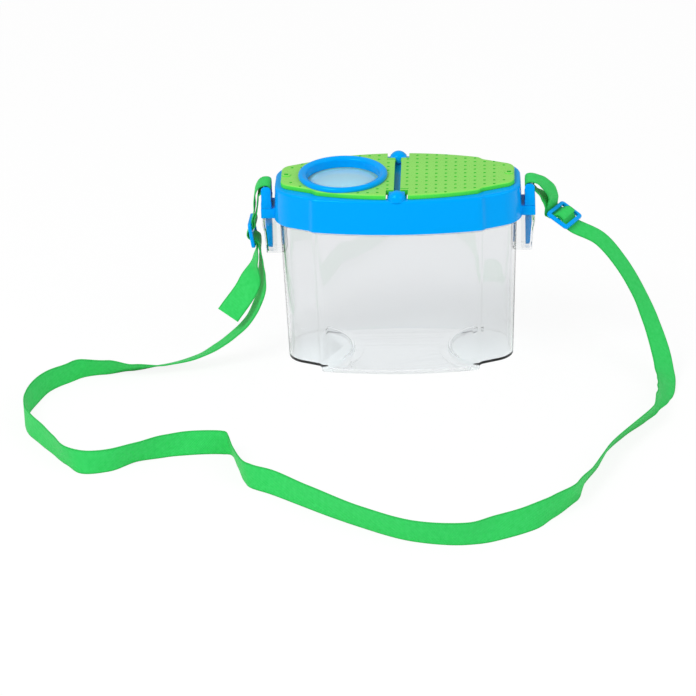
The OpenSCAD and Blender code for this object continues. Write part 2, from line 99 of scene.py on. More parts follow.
def linear(code: str) -> tuple[float, float, float, float]:
    """Turns an sRGB hex colour to a linear one.

    Args:
        code: six hex digits after a hash.

    Returns:
        Red, green, blue and alpha, linear.
    """
    parts = [int(code[i : i + 2], 16) / 255 for i in (1, 3, 5)]
    red, green, blue = (c / 12.92 if c <= 0.04045 else ((c + 0.055) / 1.055) ** 2.4 for c in parts)
    return (red, green, blue, 1.0)


def add_node(tree: bpy.types.NodeTree, kind: str, inputs: dict[Any, Any], **settings: Any) -> bpy.types.Node:
    """Adds one node with its settings, values and links.

    Args:
        tree: the tree that gets the node.
        kind: the node's type, without its ShaderNode prefix.
        inputs: socket name or number to a value, or to an output socket that feeds it.
        **settings: the node's own properties.

    Returns:
        The new node.
    """
    node = tree.nodes.new("ShaderNode" + kind)
    for name, value in settings.items():
        setattr(node, name, value)
    for name, value in inputs.items():
        if isinstance(value, bpy.types.NodeSocket):
            tree.links.new(value, node.inputs[name])
        else:
            node.inputs[name].default_value = value
    return node


def blank(name: str) -> bpy.types.Material:
    """Makes an empty node material.

    Args:
        name: the material's name.

    Returns:
        The material, with no nodes in its tree.
    """
    material = bpy.data.materials.new(name)
    material.use_nodes = True
    material.node_tree.nodes.clear()
    return material


def noise(tree: bpy.types.NodeTree, place: Any, size_mm: float, detail: float) -> bpy.types.NodeSocket:
    """Adds a cloudy noise.

    Args:
        tree: the tree that gets the node.
        place: the point at which it is read.
        size_mm: the clouds' size.
        detail: how many finer layers it has.

    Returns:
        The noise, from 0 to 1.
    """
    settings = {"Vector": place, "Scale": 1 / (size_mm * MM), "Detail": detail}
    return add_node(tree, "TexNoise", settings).outputs["Fac"]


def spread(
    tree: bpy.types.NodeTree, value: Any, source: Point2, target: Sequence[Any] = (0.0, 1.0)
) -> bpy.types.NodeSocket:
    """Maps a value from one range onto another and holds it there.

    Args:
        tree: the tree that gets the node.
        value: what is mapped.
        source: the range that it comes from.
        target: the range that it goes to.

    Returns:
        The mapped value.
    """
    settings = {"Value": value, "From Min": source[0], "From Max": source[1]}
    settings |= {"To Min": target[0], "To Max": target[1]}
    return add_node(tree, "MapRange", settings).outputs[0]


def compute(tree: bpy.types.NodeTree, operation: str, *values: Any) -> bpy.types.NodeSocket:
    """Works out one number by a named operation.

    Args:
        tree: the tree that gets the node.
        operation: the operation's name.
        *values: what it works on, numbers or sockets.

    Returns:
        The result.
    """
    return add_node(tree, "Math", dict(enumerate(values)), operation=operation).outputs[0]


def mingle(tree: bpy.types.NodeTree, share: Any, first: Any, second: Any) -> bpy.types.NodeSocket:
    """Mixes two colours.

    Args:
        tree: the tree that gets the node.
        share: how much of the second there is, from 0 to 1.
        first: the first colour.
        second: the second colour.

    Returns:
        The mixed colour.
    """
    return add_node(tree, "Mix", {0: share, 6: first, 7: second}, data_type="RGBA").outputs[2]


@dataclass(frozen=True)
class MouldedPlastic:
    """An injection-moulded opaque plastic: even colour, soft gloss and a faint flow texture, with painted
    light: faces that look up and faces that look sideways get lit and shaded copies of the colour.

    Attributes:
        name: the material's name.
        colour: faces that look up, painted as the light from above falls on them.
        shade: the same in the melt's slow clouds.
        side: faces that look sideways, painted as the light falls on them from the side.
        roughness: of the polished mould.
        ior: the plastic's index of refraction.
        gloss: the colour of its reflections.
        shine: how strong they are.
        grain_mm: size of the mould's fine texture.
        cloud_mm: size of the melt's clouds.
    """

    name: str
    colour: str
    shade: str
    side: str
    roughness: float
    ior: float
    gloss: str
    shine: float = 0.45
    grain_mm: float = 0.9
    cloud_mm: float = 26.0

    def make(self) -> bpy.types.Material:
        """Builds the material; faces that look sideways take the side colour, painted light and shade."""
        material = blank(self.name)
        tree = material.node_tree
        place = add_node(tree, "TexCoord", {}).outputs["Object"]
        # slow clouds of the melt's colour, a thumb's width across
        top = mingle(tree, noise(tree, place, self.cloud_mm, 2.0), linear(self.colour), linear(self.shade))
        # painted light: faces that look up take the top colour and faces that look sideways the side colour, as
        # the light falls on them
        normal = add_node(tree, "NewGeometry", {}).outputs["Normal"]
        upward = add_node(tree, "SeparateXYZ", {0: normal}).outputs["Z"]
        colour = mingle(tree, spread(tree, upward, (0.2, 0.9)), linear(self.side), top)
        # the mould's fine texture: real grain is finer than a pixel, so it is drawn at about a millimetre
        grain = noise(tree, place, self.grain_mm, 3.0)
        rough = spread(tree, grain, (0.0, 1.0), (self.roughness - 0.04, self.roughness + 0.07))
        bump = add_node(tree, "Bump", {"Strength": 0.12, "Distance": 0.03 * MM, "Height": grain})
        shader = add_node(
            tree,
            "BsdfPrincipled",
            {
                "Base Color": colour,
                "Roughness": rough,
                "IOR": self.ior,
                "Specular IOR Level": self.shine,
                "Specular Tint": linear(self.gloss),
                "Normal": bump.outputs[0],
            },
        )
        add_node(tree, "OutputMaterial", {"Surface": shader.outputs[0]})
        return material


@dataclass(frozen=True)
class ClearPlastic:
    """Clear moulded polystyrene or acrylic: bends what is behind it and lets the lamps through.

    Attributes:
        name: the material's name.
        tint: the plastic's colour: its own on the tub, painted light on the lens.
        roughness: of the polished mould.
        ior: the plastic's index of refraction.
        clarity: how much of the light goes through.
        haze_mm: size of the duller patches that handling leaves.
    """

    name: str
    tint: str
    roughness: float
    ior: float
    clarity: float = 1.0
    haze_mm: float = 12.0

    def make(self) -> bpy.types.Material:
        """Builds the material."""
        material = blank(self.name)
        tree = material.node_tree
        place = add_node(tree, "TexCoord", {}).outputs["Object"]
        # handling marks: patches a little duller than the rest
        haze = noise(tree, place, self.haze_mm, 4.0)
        rough = spread(tree, haze, (0.4, 0.8), (self.roughness, self.roughness + 0.04))
        wave = add_node(tree, "Bump", {"Strength": 0.1, "Distance": 0.05 * MM, "Height": haze})
        glass = add_node(
            tree,
            "BsdfPrincipled",
            {
                "Base Color": linear(self.tint),
                "Roughness": rough,
                "IOR": self.ior,
                "Transmission Weight": self.clarity,
                "Normal": wave.outputs[0],
            },
        )
        through = add_node(tree, "BsdfTransparent", {"Color": linear("#F4F8F8")})
        shadow = add_node(tree, "LightPath", {}).outputs["Is Shadow Ray"]
        mix = add_node(tree, "MixShader", {0: shadow, 1: glass.outputs[0], 2: through.outputs[0]})
        add_node(tree, "OutputMaterial", {"Surface": mix.outputs[0]})
        return material


@dataclass(frozen=True)
class Webbing:
    """Woven polypropylene webbing: plain weave of flat ribbons, a soft sheen and closed selvedges.

    The piece's UV map runs across the webbing in U and along it in V, both in millimetres.

    Attributes:
        name: the material's name.
        colour: the crowns of the weave.
        painted_valley_shade: the gaps between them, painted darker as the shade that falls in the weave's
            hollows.
        edge: the colour of the last millimetre at both sides.
        faded: where handling has paled it.
        width_mm: the webbing's width.
        weft_mm: two picks along the webbing.
        warp_mm: two ends across it.
    """

    name: str
    colour: str
    painted_valley_shade: str
    edge: str
    faded: str
    width_mm: float = 15.0
    weft_mm: float = 1.5
    warp_mm: float = 1.0

    def make(self) -> bpy.types.Material:
        """Builds the material."""
        material = blank(self.name)
        tree = material.node_tree
        uv = add_node(tree, "UVMap", {}, uv_map="weave").outputs[0]
        parts = add_node(tree, "SeparateXYZ", {0: uv}).outputs
        # real picks lie 1.2 mm apart; they are drawn a little coarser so that they show
        across = compute(tree, "MULTIPLY", parts[0], 2 * math.pi / self.warp_mm)
        along = compute(tree, "MULTIPLY", parts[1], 2 * math.pi / self.weft_mm)
        check = compute(tree, "MULTIPLY", compute(tree, "SINE", across), compute(tree, "SINE", along))
        height = spread(tree, check, (-1.0, 1.0))
        # painted shade: the gaps between the crowns are drawn darker, as the shade in the weave's hollows
        base = mingle(tree, height, linear(self.painted_valley_shade), linear(self.colour))
        # handling: slow patches where the colour has paled
        thread = add_node(tree, "TexNoise", {"Vector": uv, "Scale": 0.35, "Detail": 4.0}).outputs["Fac"]
        worn = mingle(tree, spread(tree, thread, (0.3, 0.75), (0.0, 0.35)), base, linear(self.faded))
        # the last millimetre at both sides is drawn darker, in the edge colour
        half = self.width_mm / 2
        edge_band = spread(tree, compute(tree, "ABSOLUTE", parts[0]), (half - 1.1, half - 0.5), (0.0, 0.6))
        colour = mingle(tree, edge_band, worn, linear(self.edge))
        bump = add_node(tree, "Bump", {"Strength": 0.55, "Distance": 0.18 * MM, "Height": height})
        shader = add_node(
            tree,
            "BsdfPrincipled",
            {
                "Base Color": colour,
                "Roughness": 0.62,
                "IOR": 1.49,
                "Sheen Weight": 0.06,
                "Sheen Roughness": 0.4,
                "Specular IOR Level": 0.25,
                "Normal": bump.outputs[0],
            },
        )
        add_node(tree, "OutputMaterial", {"Surface": shader.outputs[0]})
        return material


class Finish(Enum):
    """The keeper's finishes, each by the material's common name and how it is made.

    The tub is moulded in general-purpose polystyrene: clear, with a faint grey tint and bright edges.
    The lens is polished acrylic, a little blue where the light lies on it; that blue is painted light, a pale
    blue tint with a diffuse share. The collar, clips, sliders and bezel are moulded in ABS with a high gloss.
    The flaps are moulded in polypropylene, softer in its gloss, and the strap is woven polypropylene, nearly
    dull.
    """

    CLEAR_TUB = ClearPlastic("clear_polystyrene_moulded", "#F3F4F5", 0.02, 1.46)
    # painted light: the lens takes a pale blue tint and lets only 0.6 of the light through, so the rest is a
    # pale blue face that paints the light lying on it
    CLEAR_LENS = ClearPlastic("clear_acrylic_polished", "#CBF3FF", 0.01, 1.49, 0.6, 20.0)
    BLUE_ABS = MouldedPlastic("blue_abs_moulded", "#00A4F8", "#009FF2", "#00A0F6", 0.17, 1.54, "#2CC4FF")
    GREEN_PP = MouldedPlastic(
        "green_polypropylene_moulded", "#90E065", "#88D85E", "#48DC4A", 0.27, 1.49, "#B8FFA0"
    )
    WEBBING = Webbing("green_polypropylene_webbing", "#30D862", "#18B84C", "#14A844", "#48E078")

    def material(self) -> bpy.types.Material:
        """Returns this finish's material, made once."""
        return bpy.data.materials.get(self.value.name) or self.value.make()


# ---------------------------------------------------------------- outlines


def arc(centre: Point2, radius: float, start: float, end: float, steps: int) -> list[Point2]:
    """Returns points on an arc.

    Args:
        centre: its centre.
        radius: its radius.
        start: its first angle, in degrees.
        end: its last angle, in degrees.
        steps: how many steps it takes.

    Returns:
        One point more than there are steps.
    """
    turns = [math.radians(start + (end - start) * i / steps) for i in range(steps + 1)]
    return [(centre[0] + radius * math.cos(t), centre[1] + radius * math.sin(t)) for t in turns]


@dataclass(frozen=True)
class StepOval:
    """The keeper's stepped oval: a shallow front arc, a small step and a rounded end.

    Attributes:
        length: half the outline's length.
        depth: half its depth.
        arc: radius of the front and back.
        step_at: how far along the step starts.
        step_run: how far along it runs.
        step_drop: how far it goes in.
        corner: radius of the end's corner.
        flat: half the end's straight part.
        turn: how far the corner turns, in degrees.
    """

    length: float
    depth: float
    arc: float
    step_at: float
    step_run: float
    step_drop: float
    corner: float
    flat: float
    turn: float

    def quarter(self) -> list[Point2]:
        """Returns the quarter from the middle of the back to the end, point by point."""
        front = []
        for i in range(21):
            x = self.step_at * i / 20
            front.append((x, self.depth - x**2 / (2 * self.arc)))
        x0, y0 = front[-1]
        step = [
            (x0 + self.step_run * t, y0 - self.step_drop * (t - math.sin(2 * math.pi * t) / (4 * math.pi)))
            for t in (0.25, 0.5, 0.75, 1.0)
        ]
        centre = self.length - self.corner
        bend = arc((centre, self.flat), self.corner, self.turn, 0, 12)
        (x1, y1), (x2, y2) = step[-1], bend[0]
        run = [(x1 + (x2 - x1) * t, y1 + (y2 - y1) * t) for t in (1 / 3, 2 / 3)]
        return front + step + run + bend

    def points(self, inset: float = 0.0, stretch: Point2 = (1.0, 1.0)) -> list[Point2]:
        """Returns the whole closed outline, counter-clockwise.

        Args:
            inset: how far it is drawn in, in millimetres; less than zero moves it outward.
            stretch: factors on X and Y, put on after it is drawn in.

        Returns:
            The outline's points.
        """
        smaller = replace(
            self,
            length=self.length - inset,
            depth=self.depth - inset,
            arc=self.arc - inset,
            step_at=self.step_at - 0.42 * inset,
            corner=self.corner - inset,
        )
        q = smaller.quarter()
        line = q[::-1] + [(-x, y) for x, y in q[1:]]
        line += [(-x, -y) for x, y in q[-1:0:-1]] + [(x, -y) for x, y in q]
        line = line[:-1] if line[0] == line[-1] else line
        return [(x * stretch[0], y * stretch[1]) for x, y in line]


def drawn_in(line: Sequence[Point2], distance: float) -> list[Point2]:
    """Moves a closed counter-clockwise outline inward by a distance.

    Args:
        line: the outline's points.
        distance: how far, in the outline's own unit; negative moves it outward.

    Returns:
        As many points as came in.
    """
    moved: list[Point2] = []
    count = len(line)
    for i, point in enumerate(line):
        before = Vector(point) - Vector(line[i - 1])
        after = Vector(line[(i + 1) % count]) - Vector(point)
        ahead = (before.normalized() + after.normalized()).normalized()
        share = max(0.6, ahead.dot(before.normalized()))
        moved.append((point[0] - ahead.y * distance / share, point[1] + ahead.x * distance / share))
    return moved


COLLAR_OVAL = StepOval(77, 38.5, 250, 52, 3.6, 3, 19, 8, 65)
FLAP_OVAL = StepOval(72.5, 34.6, 155, 49.5, 4.5, 4.2, 8, 9, 62)


# ---------------------------------------------------------------- the bench


class Bench:
    """Modelling by operators, with each operator's selection made first."""

    @staticmethod
    def lone(obj: bpy.types.Object) -> None:
        """Selects one object alone and makes it active.

        Args:
            obj: the object.
        """
        bpy.ops.object.select_all(action="DESELECT")
        obj.select_set(True)
        bpy.context.view_layer.objects.active = obj

    @staticmethod
    def start(name: str) -> bpy.types.Object:
        """Names the primitive that was just added and settles its place in its mesh.

        Args:
            name: the piece's name.

        Returns:
            The new object.
        """
        obj = bpy.context.object
        obj.name = obj.data.name = name
        bpy.ops.object.transform_apply(location=True, rotation=True, scale=True)
        return obj

    @classmethod
    def stack(cls, name: str, rings: Sequence[tuple[float, Sequence[Point2]]]) -> bpy.types.Object:
        """Raises a closed solid ring by ring: a circle is drawn to the first outline and extruded.

        Args:
            name: the piece's name.
            rings: height and outline of each ring, all with as many points.

        Returns:
            The closed solid.
        """
        bpy.ops.object.select_all(action="DESELECT")
        bpy.ops.mesh.primitive_circle_add(vertices=len(rings[0][1]), radius=0.05, fill_type="NOTHING")
        obj = cls.start(name)
        bpy.ops.object.mode_set(mode="EDIT")
        bpy.ops.mesh.select_mode(type="VERT")
        mesh = bmesh.from_edit_mesh(obj.data)
        place = mesh.verts.layers.int.new("place")
        for number, vert in enumerate(mesh.verts):
            vert[place] = number
        for level, (height, outline) in enumerate(rings):
            if level:
                bpy.ops.mesh.extrude_region_move(TRANSFORM_OT_translate={"value": (0, 0, 0)})
            mesh = bmesh.from_edit_mesh(obj.data)
            place = mesh.verts.layers.int["place"]
            for vert in mesh.verts:
                if vert.select:
                    x, y = outline[vert[place]]
                    vert.co = (x * MM, y * MM, height * MM)
            bmesh.update_edit_mesh(obj.data)
            if not level:
                bpy.ops.mesh.select_all(action="SELECT")
        bpy.ops.mesh.edge_face_add()
        bpy.ops.mesh.select_all(action="DESELECT")
        bpy.ops.mesh.select_non_manifold(extend=False)
        bpy.ops.mesh.edge_face_add()
        cls.face_out()
        return obj

    @staticmethod
    def face_out() -> None:
        """Points all faces of the mesh in edit mode outwards and leaves edit mode."""
        bpy.ops.mesh.select_all(action="SELECT")
        bpy.ops.mesh.remove_doubles(threshold=0.002 * MM)
        bpy.ops.mesh.normals_make_consistent(inside=False)
        bpy.ops.object.mode_set(mode="OBJECT")

    @classmethod
    def turn_up(cls, name: str, profile: Sequence[Point2], centre: Point2, steps: int = 96) -> bpy.types.Object:
        """Spins a profile about a vertical axis.

        Args:
            name: the piece's name.
            profile: radius and height of each point, closed if it does not touch the axis.
            centre: where the axis stands.
            steps: how many steps the turn takes.

        Returns:
            The closed solid.
        """
        bpy.ops.object.select_all(action="DESELECT")
        bpy.ops.mesh.primitive_circle_add(vertices=len(profile), radius=0.05, fill_type="NOTHING")
        obj = cls.start(name)
        bpy.ops.object.mode_set(mode="EDIT")
        mesh = bmesh.from_edit_mesh(obj.data)
        for vert, (radius, height) in zip(mesh.verts, profile):
            vert.co = ((centre[0] + radius) * MM, centre[1] * MM, height * MM)
        bmesh.update_edit_mesh(obj.data)
        bpy.ops.mesh.select_all(action="SELECT")
        bpy.ops.mesh.spin(
            steps=steps, angle=2 * math.pi, center=(centre[0] * MM, centre[1] * MM, 0), axis=(0, 0, 1)
        )
        cls.face_out()
        return obj

    @classmethod
    def block(cls, name: str, low: Point3, high: Point3, round_mm: float = 0.0) -> bpy.types.Object:
        """Adds a cube at its size and place, with its edges bevelled.

        Args:
            name: the piece's name.
            low: the lowest corner.
            high: the highest corner.
            round_mm: radius of the bevel on every edge.

        Returns:
            The block.
        """
        bpy.ops.object.select_all(action="DESELECT")
        middle = [(a + b) / 2 * MM for a, b in zip(low, high)]
        bpy.ops.mesh.primitive_cube_add(size=1, location=middle)
        bpy.context.object.scale = [(b - a) * MM for a, b in zip(low, high)]
        obj = cls.start(name)
        if round_mm:
            bpy.ops.object.mode_set(mode="EDIT")
            bpy.ops.mesh.select_all(action="SELECT")
            bpy.ops.mesh.bevel(offset=round_mm * MM, segments=3, affect="EDGES")
            bpy.ops.object.mode_set(mode="OBJECT")
        return obj

    @classmethod
    def end_block(
        cls, name: str, s: int, x: Point2, y: Point2, z: Point2, round_mm: float = 0.0
    ) -> bpy.types.Object:
        """Adds a block on the right (s = 1) or its mirror image on the left (s = -1).

        Args:
            name: the piece's name.
            s: the sign that X gets.
            x: its two faces along X, as they are on the right.
            y: its two faces along Y.
            z: its two faces along Z.
            round_mm: radius of the bevel on every edge.

        Returns:
            The block.
        """
        x0, x1 = sorted((s * x[0], s * x[1]))
        return cls.block(name, (x0, y[0], z[0]), (x1, y[1], z[1]), round_mm)

    @classmethod
    def rod(
        cls,
        name: str,
        centre: Point3,
        radius: float,
        length: float,
        axis: Point3 = (0, 0, 1),
        sides: int = 32,
        round_mm: float = 0.0,
    ) -> bpy.types.Object:
        """Adds a cylinder about its centre, with its rims bevelled.

        Args:
            name: the piece's name.
            centre: the middle of the rod.
            radius: its radius.
            length: its length.
            axis: the direction that it runs in.
            sides: how many sides it has.
            round_mm: radius of the bevel on both rims.

        Returns:
            The rod.
        """
        bpy.ops.object.select_all(action="DESELECT")
        turn = Vector(axis).to_track_quat("Z", "Y").to_euler()
        place = [c * MM for c in centre]
        bpy.ops.mesh.primitive_cylinder_add(
            vertices=sides, radius=radius * MM, depth=length * MM, location=place, rotation=turn
        )
        obj = cls.start(name)
        if round_mm:
            cls.ease(obj, round_mm, 60.0, 3)
        return obj

    @classmethod
    def slice_off(cls, obj: bpy.types.Object, point: Point3, normal: Point3) -> None:
        """Cuts off what lies beyond a plane and closes the cut.

        Args:
            obj: the active piece.
            point: a point of the plane, in metres.
            normal: the side that goes.
        """
        cls.lone(obj)
        bpy.ops.object.mode_set(mode="EDIT")
        bpy.ops.mesh.select_all(action="SELECT")
        bpy.ops.mesh.bisect(plane_co=point, plane_no=normal, clear_outer=True, use_fill=True)
        cls.face_out()

    @classmethod
    def combine(cls, obj: bpy.types.Object, tool: bpy.types.Object, how: str = "DIFFERENCE") -> None:
        """Cuts, joins or crosses a solid with a tool, and removes the tool.

        Args:
            obj: the solid that stays.
            tool: the solid that is used up.
            how: DIFFERENCE, UNION or INTERSECT.
        """
        cls.lone(obj)
        bpy.ops.object.modifier_add(type="BOOLEAN")
        boolean = obj.modifiers[-1]
        boolean.object, boolean.operation, boolean.solver = tool, how, "EXACT"
        bpy.ops.object.modifier_apply(modifier=boolean.name)
        cls.lone(tool)
        bpy.ops.object.delete()
        cls.lone(obj)

    @classmethod
    def copy(cls, obj: bpy.types.Object, name: str, turn: Matrix) -> bpy.types.Object:
        """Duplicates a piece with its own mesh, moved by a matrix that is settled in the mesh.

        Args:
            obj: the piece.
            name: the copy's name.
            turn: where the copy goes, seen from the piece.

        Returns:
            The copy.
        """
        cls.lone(obj)
        bpy.ops.object.duplicate(linked=False)
        twin = bpy.context.object
        twin.name = twin.data.name = name
        cls.settle(twin, turn)
        return twin

    @classmethod
    def settle(cls, obj: bpy.types.Object, turn: Matrix) -> None:
        """Moves a piece and settles that in its mesh, with its faces outwards.

        Args:
            obj: the piece.
            turn: the matrix that moves it.
        """
        obj.matrix_world = turn
        cls.lone(obj)
        bpy.ops.object.transform_apply(location=True, rotation=True, scale=True)
        bpy.ops.object.mode_set(mode="EDIT")
        cls.face_out()

    @classmethod
    def merge(cls, name: str, parts: Sequence[bpy.types.Object]) -> bpy.types.Object:
        """Joins separate solids to one object, the first one.

        Args:
            name: the joined object's name.
            parts: the solids.

        Returns:
            The joined object.
        """
        bpy.ops.object.select_all(action="DESELECT")
        for part in parts:
            part.select_set(True)
        bpy.context.view_layer.objects.active = parts[0]
        bpy.ops.object.join()
        obj = bpy.context.object
        obj.name = obj.data.name = name
        return obj

    @classmethod
    def ease(cls, obj: bpy.types.Object, width: float, angle: float = 40.0, segments: int = 2) -> None:
        """Breaks a piece's sharp edges with a small bevel, as a mould leaves them.

        Args:
            obj: the piece.
            width: the bevel's width, in millimetres.
            angle: edges that turn by more than this many degrees are bevelled.
            segments: the bevel's segments.
        """
        cls.lone(obj)
        bpy.ops.object.modifier_add(type="BEVEL")
        bevel = obj.modifiers[-1]
        bevel.width, bevel.segments, bevel.limit_method = width * MM, segments, "ANGLE"
        bevel.angle_limit = math.radians(angle)
        bevel.use_clamp_overlap = True
        bpy.ops.object.modifier_apply(modifier=bevel.name)

    @classmethod
    def hand_over(
        cls, obj: bpy.types.Object, finish: Finish, body: Body | None, nodes: Sequence[str], smooth: float
    ) -> bpy.types.Object:
        """Shades a finished piece, gives it its finish and its body, and reports it.

        Args:
            obj: the piece.
            finish: what it is made of.
            body: the body that it rides on, or None if it bends between two.
            nodes: the CAD nodes that it stands for.
            smooth: edges flatter than this angle are shaded smooth.

        Returns:
            The piece.
        """
        cls.lone(obj)
        bpy.ops.object.shade_smooth_by_angle(angle=math.radians(smooth))
        obj.data.materials.clear()
        obj.data.materials.append(finish.material())
        for polygon in obj.data.polygons:
            polygon.material_index = 0
        if body is not None:
            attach(obj, body.value)
        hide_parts(*nodes)
        LOG.info("%s: %d faces, %s, rides on %s", obj.name, len(obj.data.polygons), finish.value.name, body)
        obj.select_set(False)
        return obj


# ---------------------------------------------------------------- the tub


@dataclass
class Tub:
    """The clear tub: stepped oval walls, a floor with raised round ends and a pocket on each end.

    Attributes:
        height: from the ground to the rim.
        wall: thickness of walls and floor.
        foot: the foot's length and depth as shares of the mouth's.
        mouth_inset: how far the wall stands in from the collar's outside.
        pad_rise: how high the raised ends stand over the floor.
        pad_radius: radius of their round tips.
        pad_tip: how far the tips lie from the middle.
        pad_skin: the plastic over the hollow under them.
        rim_out: how far a low step runs out round them.
        rim_rise: that step's height.
        bead_low: the foot of the bead that the collar rests on.
        pocket_half: half a pocket's width.
        pocket_wall: thickness of its walls.
        pocket_back: its inner side's X.
        pocket_out: its outer side's X, at the top.
    """

    height: float = 103.0
    wall: float = 1.8
    foot: Point2 = (0.95, 0.98)
    mouth_inset: float = 3.0
    pad_rise: float = 3.0
    pad_radius: float = 32.0
    pad_tip: float = 31.0
    pad_skin: float = 1.3
    rim_out: float = 5.5
    rim_rise: float = 0.4
    bead_low: float = 95.0
    pocket_half: float = 6.4
    pocket_wall: float = 1.0
    pocket_back: float = 72.5
    pocket_out: float = 85.1

    def ring(self, inset: float, z: float) -> tuple[float, list[Point2]]:
        """Sets out one ring of the wall, which narrows towards the foot.

        Args:
            inset: how far it is drawn in from the wall's outside.
            z: its height.

        Returns:
            The height and the ring's outline.
        """
        share = z / self.height
        fx, fy = (f + (1 - f) * share for f in self.foot)
        return z, COLLAR_OVAL.points(self.mouth_inset + inset, (fx, fy))

    def shell(self) -> bpy.types.Object:
        """Raises the outside from the foot to the rim, with the bead that the collar rests on."""
        low, rim = self.bead_low, self.height
        foot = [(1.8, 0.0), (0.9, 0.25), (0.35, 0.75), (0.08, 1.4), (0, 2.2)]
        wall = [(0, 34), (0, 68), (0, low - 0.1)]
        bead = [(-0.8, low), (-1.12, low + 0.35), (-1.15, low + 0.9), (-0.9, low + 1.35), (0, low + 1.45)]
        lip = [(0, rim - 0.5), (0.15, rim - 0.15), (0.5, rim)]
        return Bench.stack("tub_shell", [self.ring(inset, z) for inset, z in foot + wall + bead + lip])

    def pad(self, side: Side, radius: float, low: float, high: float, ease: float) -> bpy.types.Object:
        """Raises one end's round pad as a cutting tool: a half round tip that runs out past the end.

        Args:
            side: the end of the tub.
            radius: the tip's radius.
            low: the tool's foot.
            high: its top.
            ease: radius of its upper edge.

        Returns:
            The tool.
        """
        centre = side.value * (self.pad_tip + self.pad_radius)

        def line(inset: float) -> list[Point2]:
            """Returns the tool's outline, drawn in by inset."""
            r = radius - inset
            past = r + 6
            tip = arc((0, 0), r, 270, 90, 40) + [(past, r), (past, -r)]
            points = [(side.value * x + centre, y) for x, y in tip]
            return points if side is Side.RIGHT else list(reversed(points))

        rings = [(low, line(0))]
        rings += [(high - ease + ease * math.sin(a), line(ease * (1 - math.cos(a)))) for a in QUARTER_TURN]
        return Bench.stack("pad_tool", rings)

    def cavity(self) -> bpy.types.Object:
        """Raises the inside of the tub, with the floor's raised ends taken out of it."""
        w = self.wall
        foot = [(w + 1.6, w), (w + 0.7, w + 0.3), (w + 0.2, w + 0.9), (w, w + 1.8)]
        wall = [(w, 40), (w, 80), (w, self.height + 1)]
        tool = Bench.stack("cavity_tool", [self.ring(inset, z) for inset, z in foot + wall])
        for side in Side:
            rim, pad = self.pad_radius + w + self.rim_out, self.pad_radius + w
            Bench.combine(tool, self.pad(side, rim, -1, w + self.rim_rise, 0.25))
            Bench.combine(tool, self.pad(side, pad, -1, w + self.pad_rise, 0.9))
        return tool

    def pocket(self, side: Side, inset: float, half: float) -> bpy.types.Object:
        """Raises one pocket as a solid: a tall block whose outer wall leans out and bends upright.

        Args:
            side: the end of the tub.
            inset: how far the solid is drawn in from the pocket's outside.
            half: half its width.

        Returns:
            The solid.
        """
        back = self.pocket_back + 3.6 * inset
        out = self.pocket_out - inset
        # height, and how far the outer wall stands back from its upper, upright part
        leaning = [(72 + inset, 2.1), (79, 1.55), (86, 1.0), (88.5, 0.4), (91, 0), (96 + 2 * inset, 0)]
        rings = []
        for z, lean in leaning:
            x, cut = out - lean, 0.7
            back_half = [(x, half - cut), (x - cut, half), (back, half)]
            line = [(px, -py) for px, py in reversed(back_half)] + back_half
            line = [(side.value * px, py) for px, py in line]
            rings.append((z, line if side is Side.RIGHT else list(reversed(line))))
        return Bench.stack("pocket_tool", rings)

    def build(self) -> None:
        """Builds and dresses the tub."""
        tub = self.shell()
        for side in Side:
            Bench.combine(tub, self.pocket(side, 0, self.pocket_half), "UNION")
        Bench.combine(tub, self.cavity())
        hollow_top = self.wall + self.pad_rise - self.pad_skin
        for side in Side:
            Bench.combine(tub, self.pad(side, self.pad_radius, -1, hollow_top, 0.8))
            Bench.combine(tub, self.pocket(side, self.pocket_wall, self.pocket_half - self.pocket_wall))
        Bench.hand_over(tub, Finish.CLEAR_TUB, Body.TUB, ["tub"], 35)


# ---------------------------------------------------------------- the collar


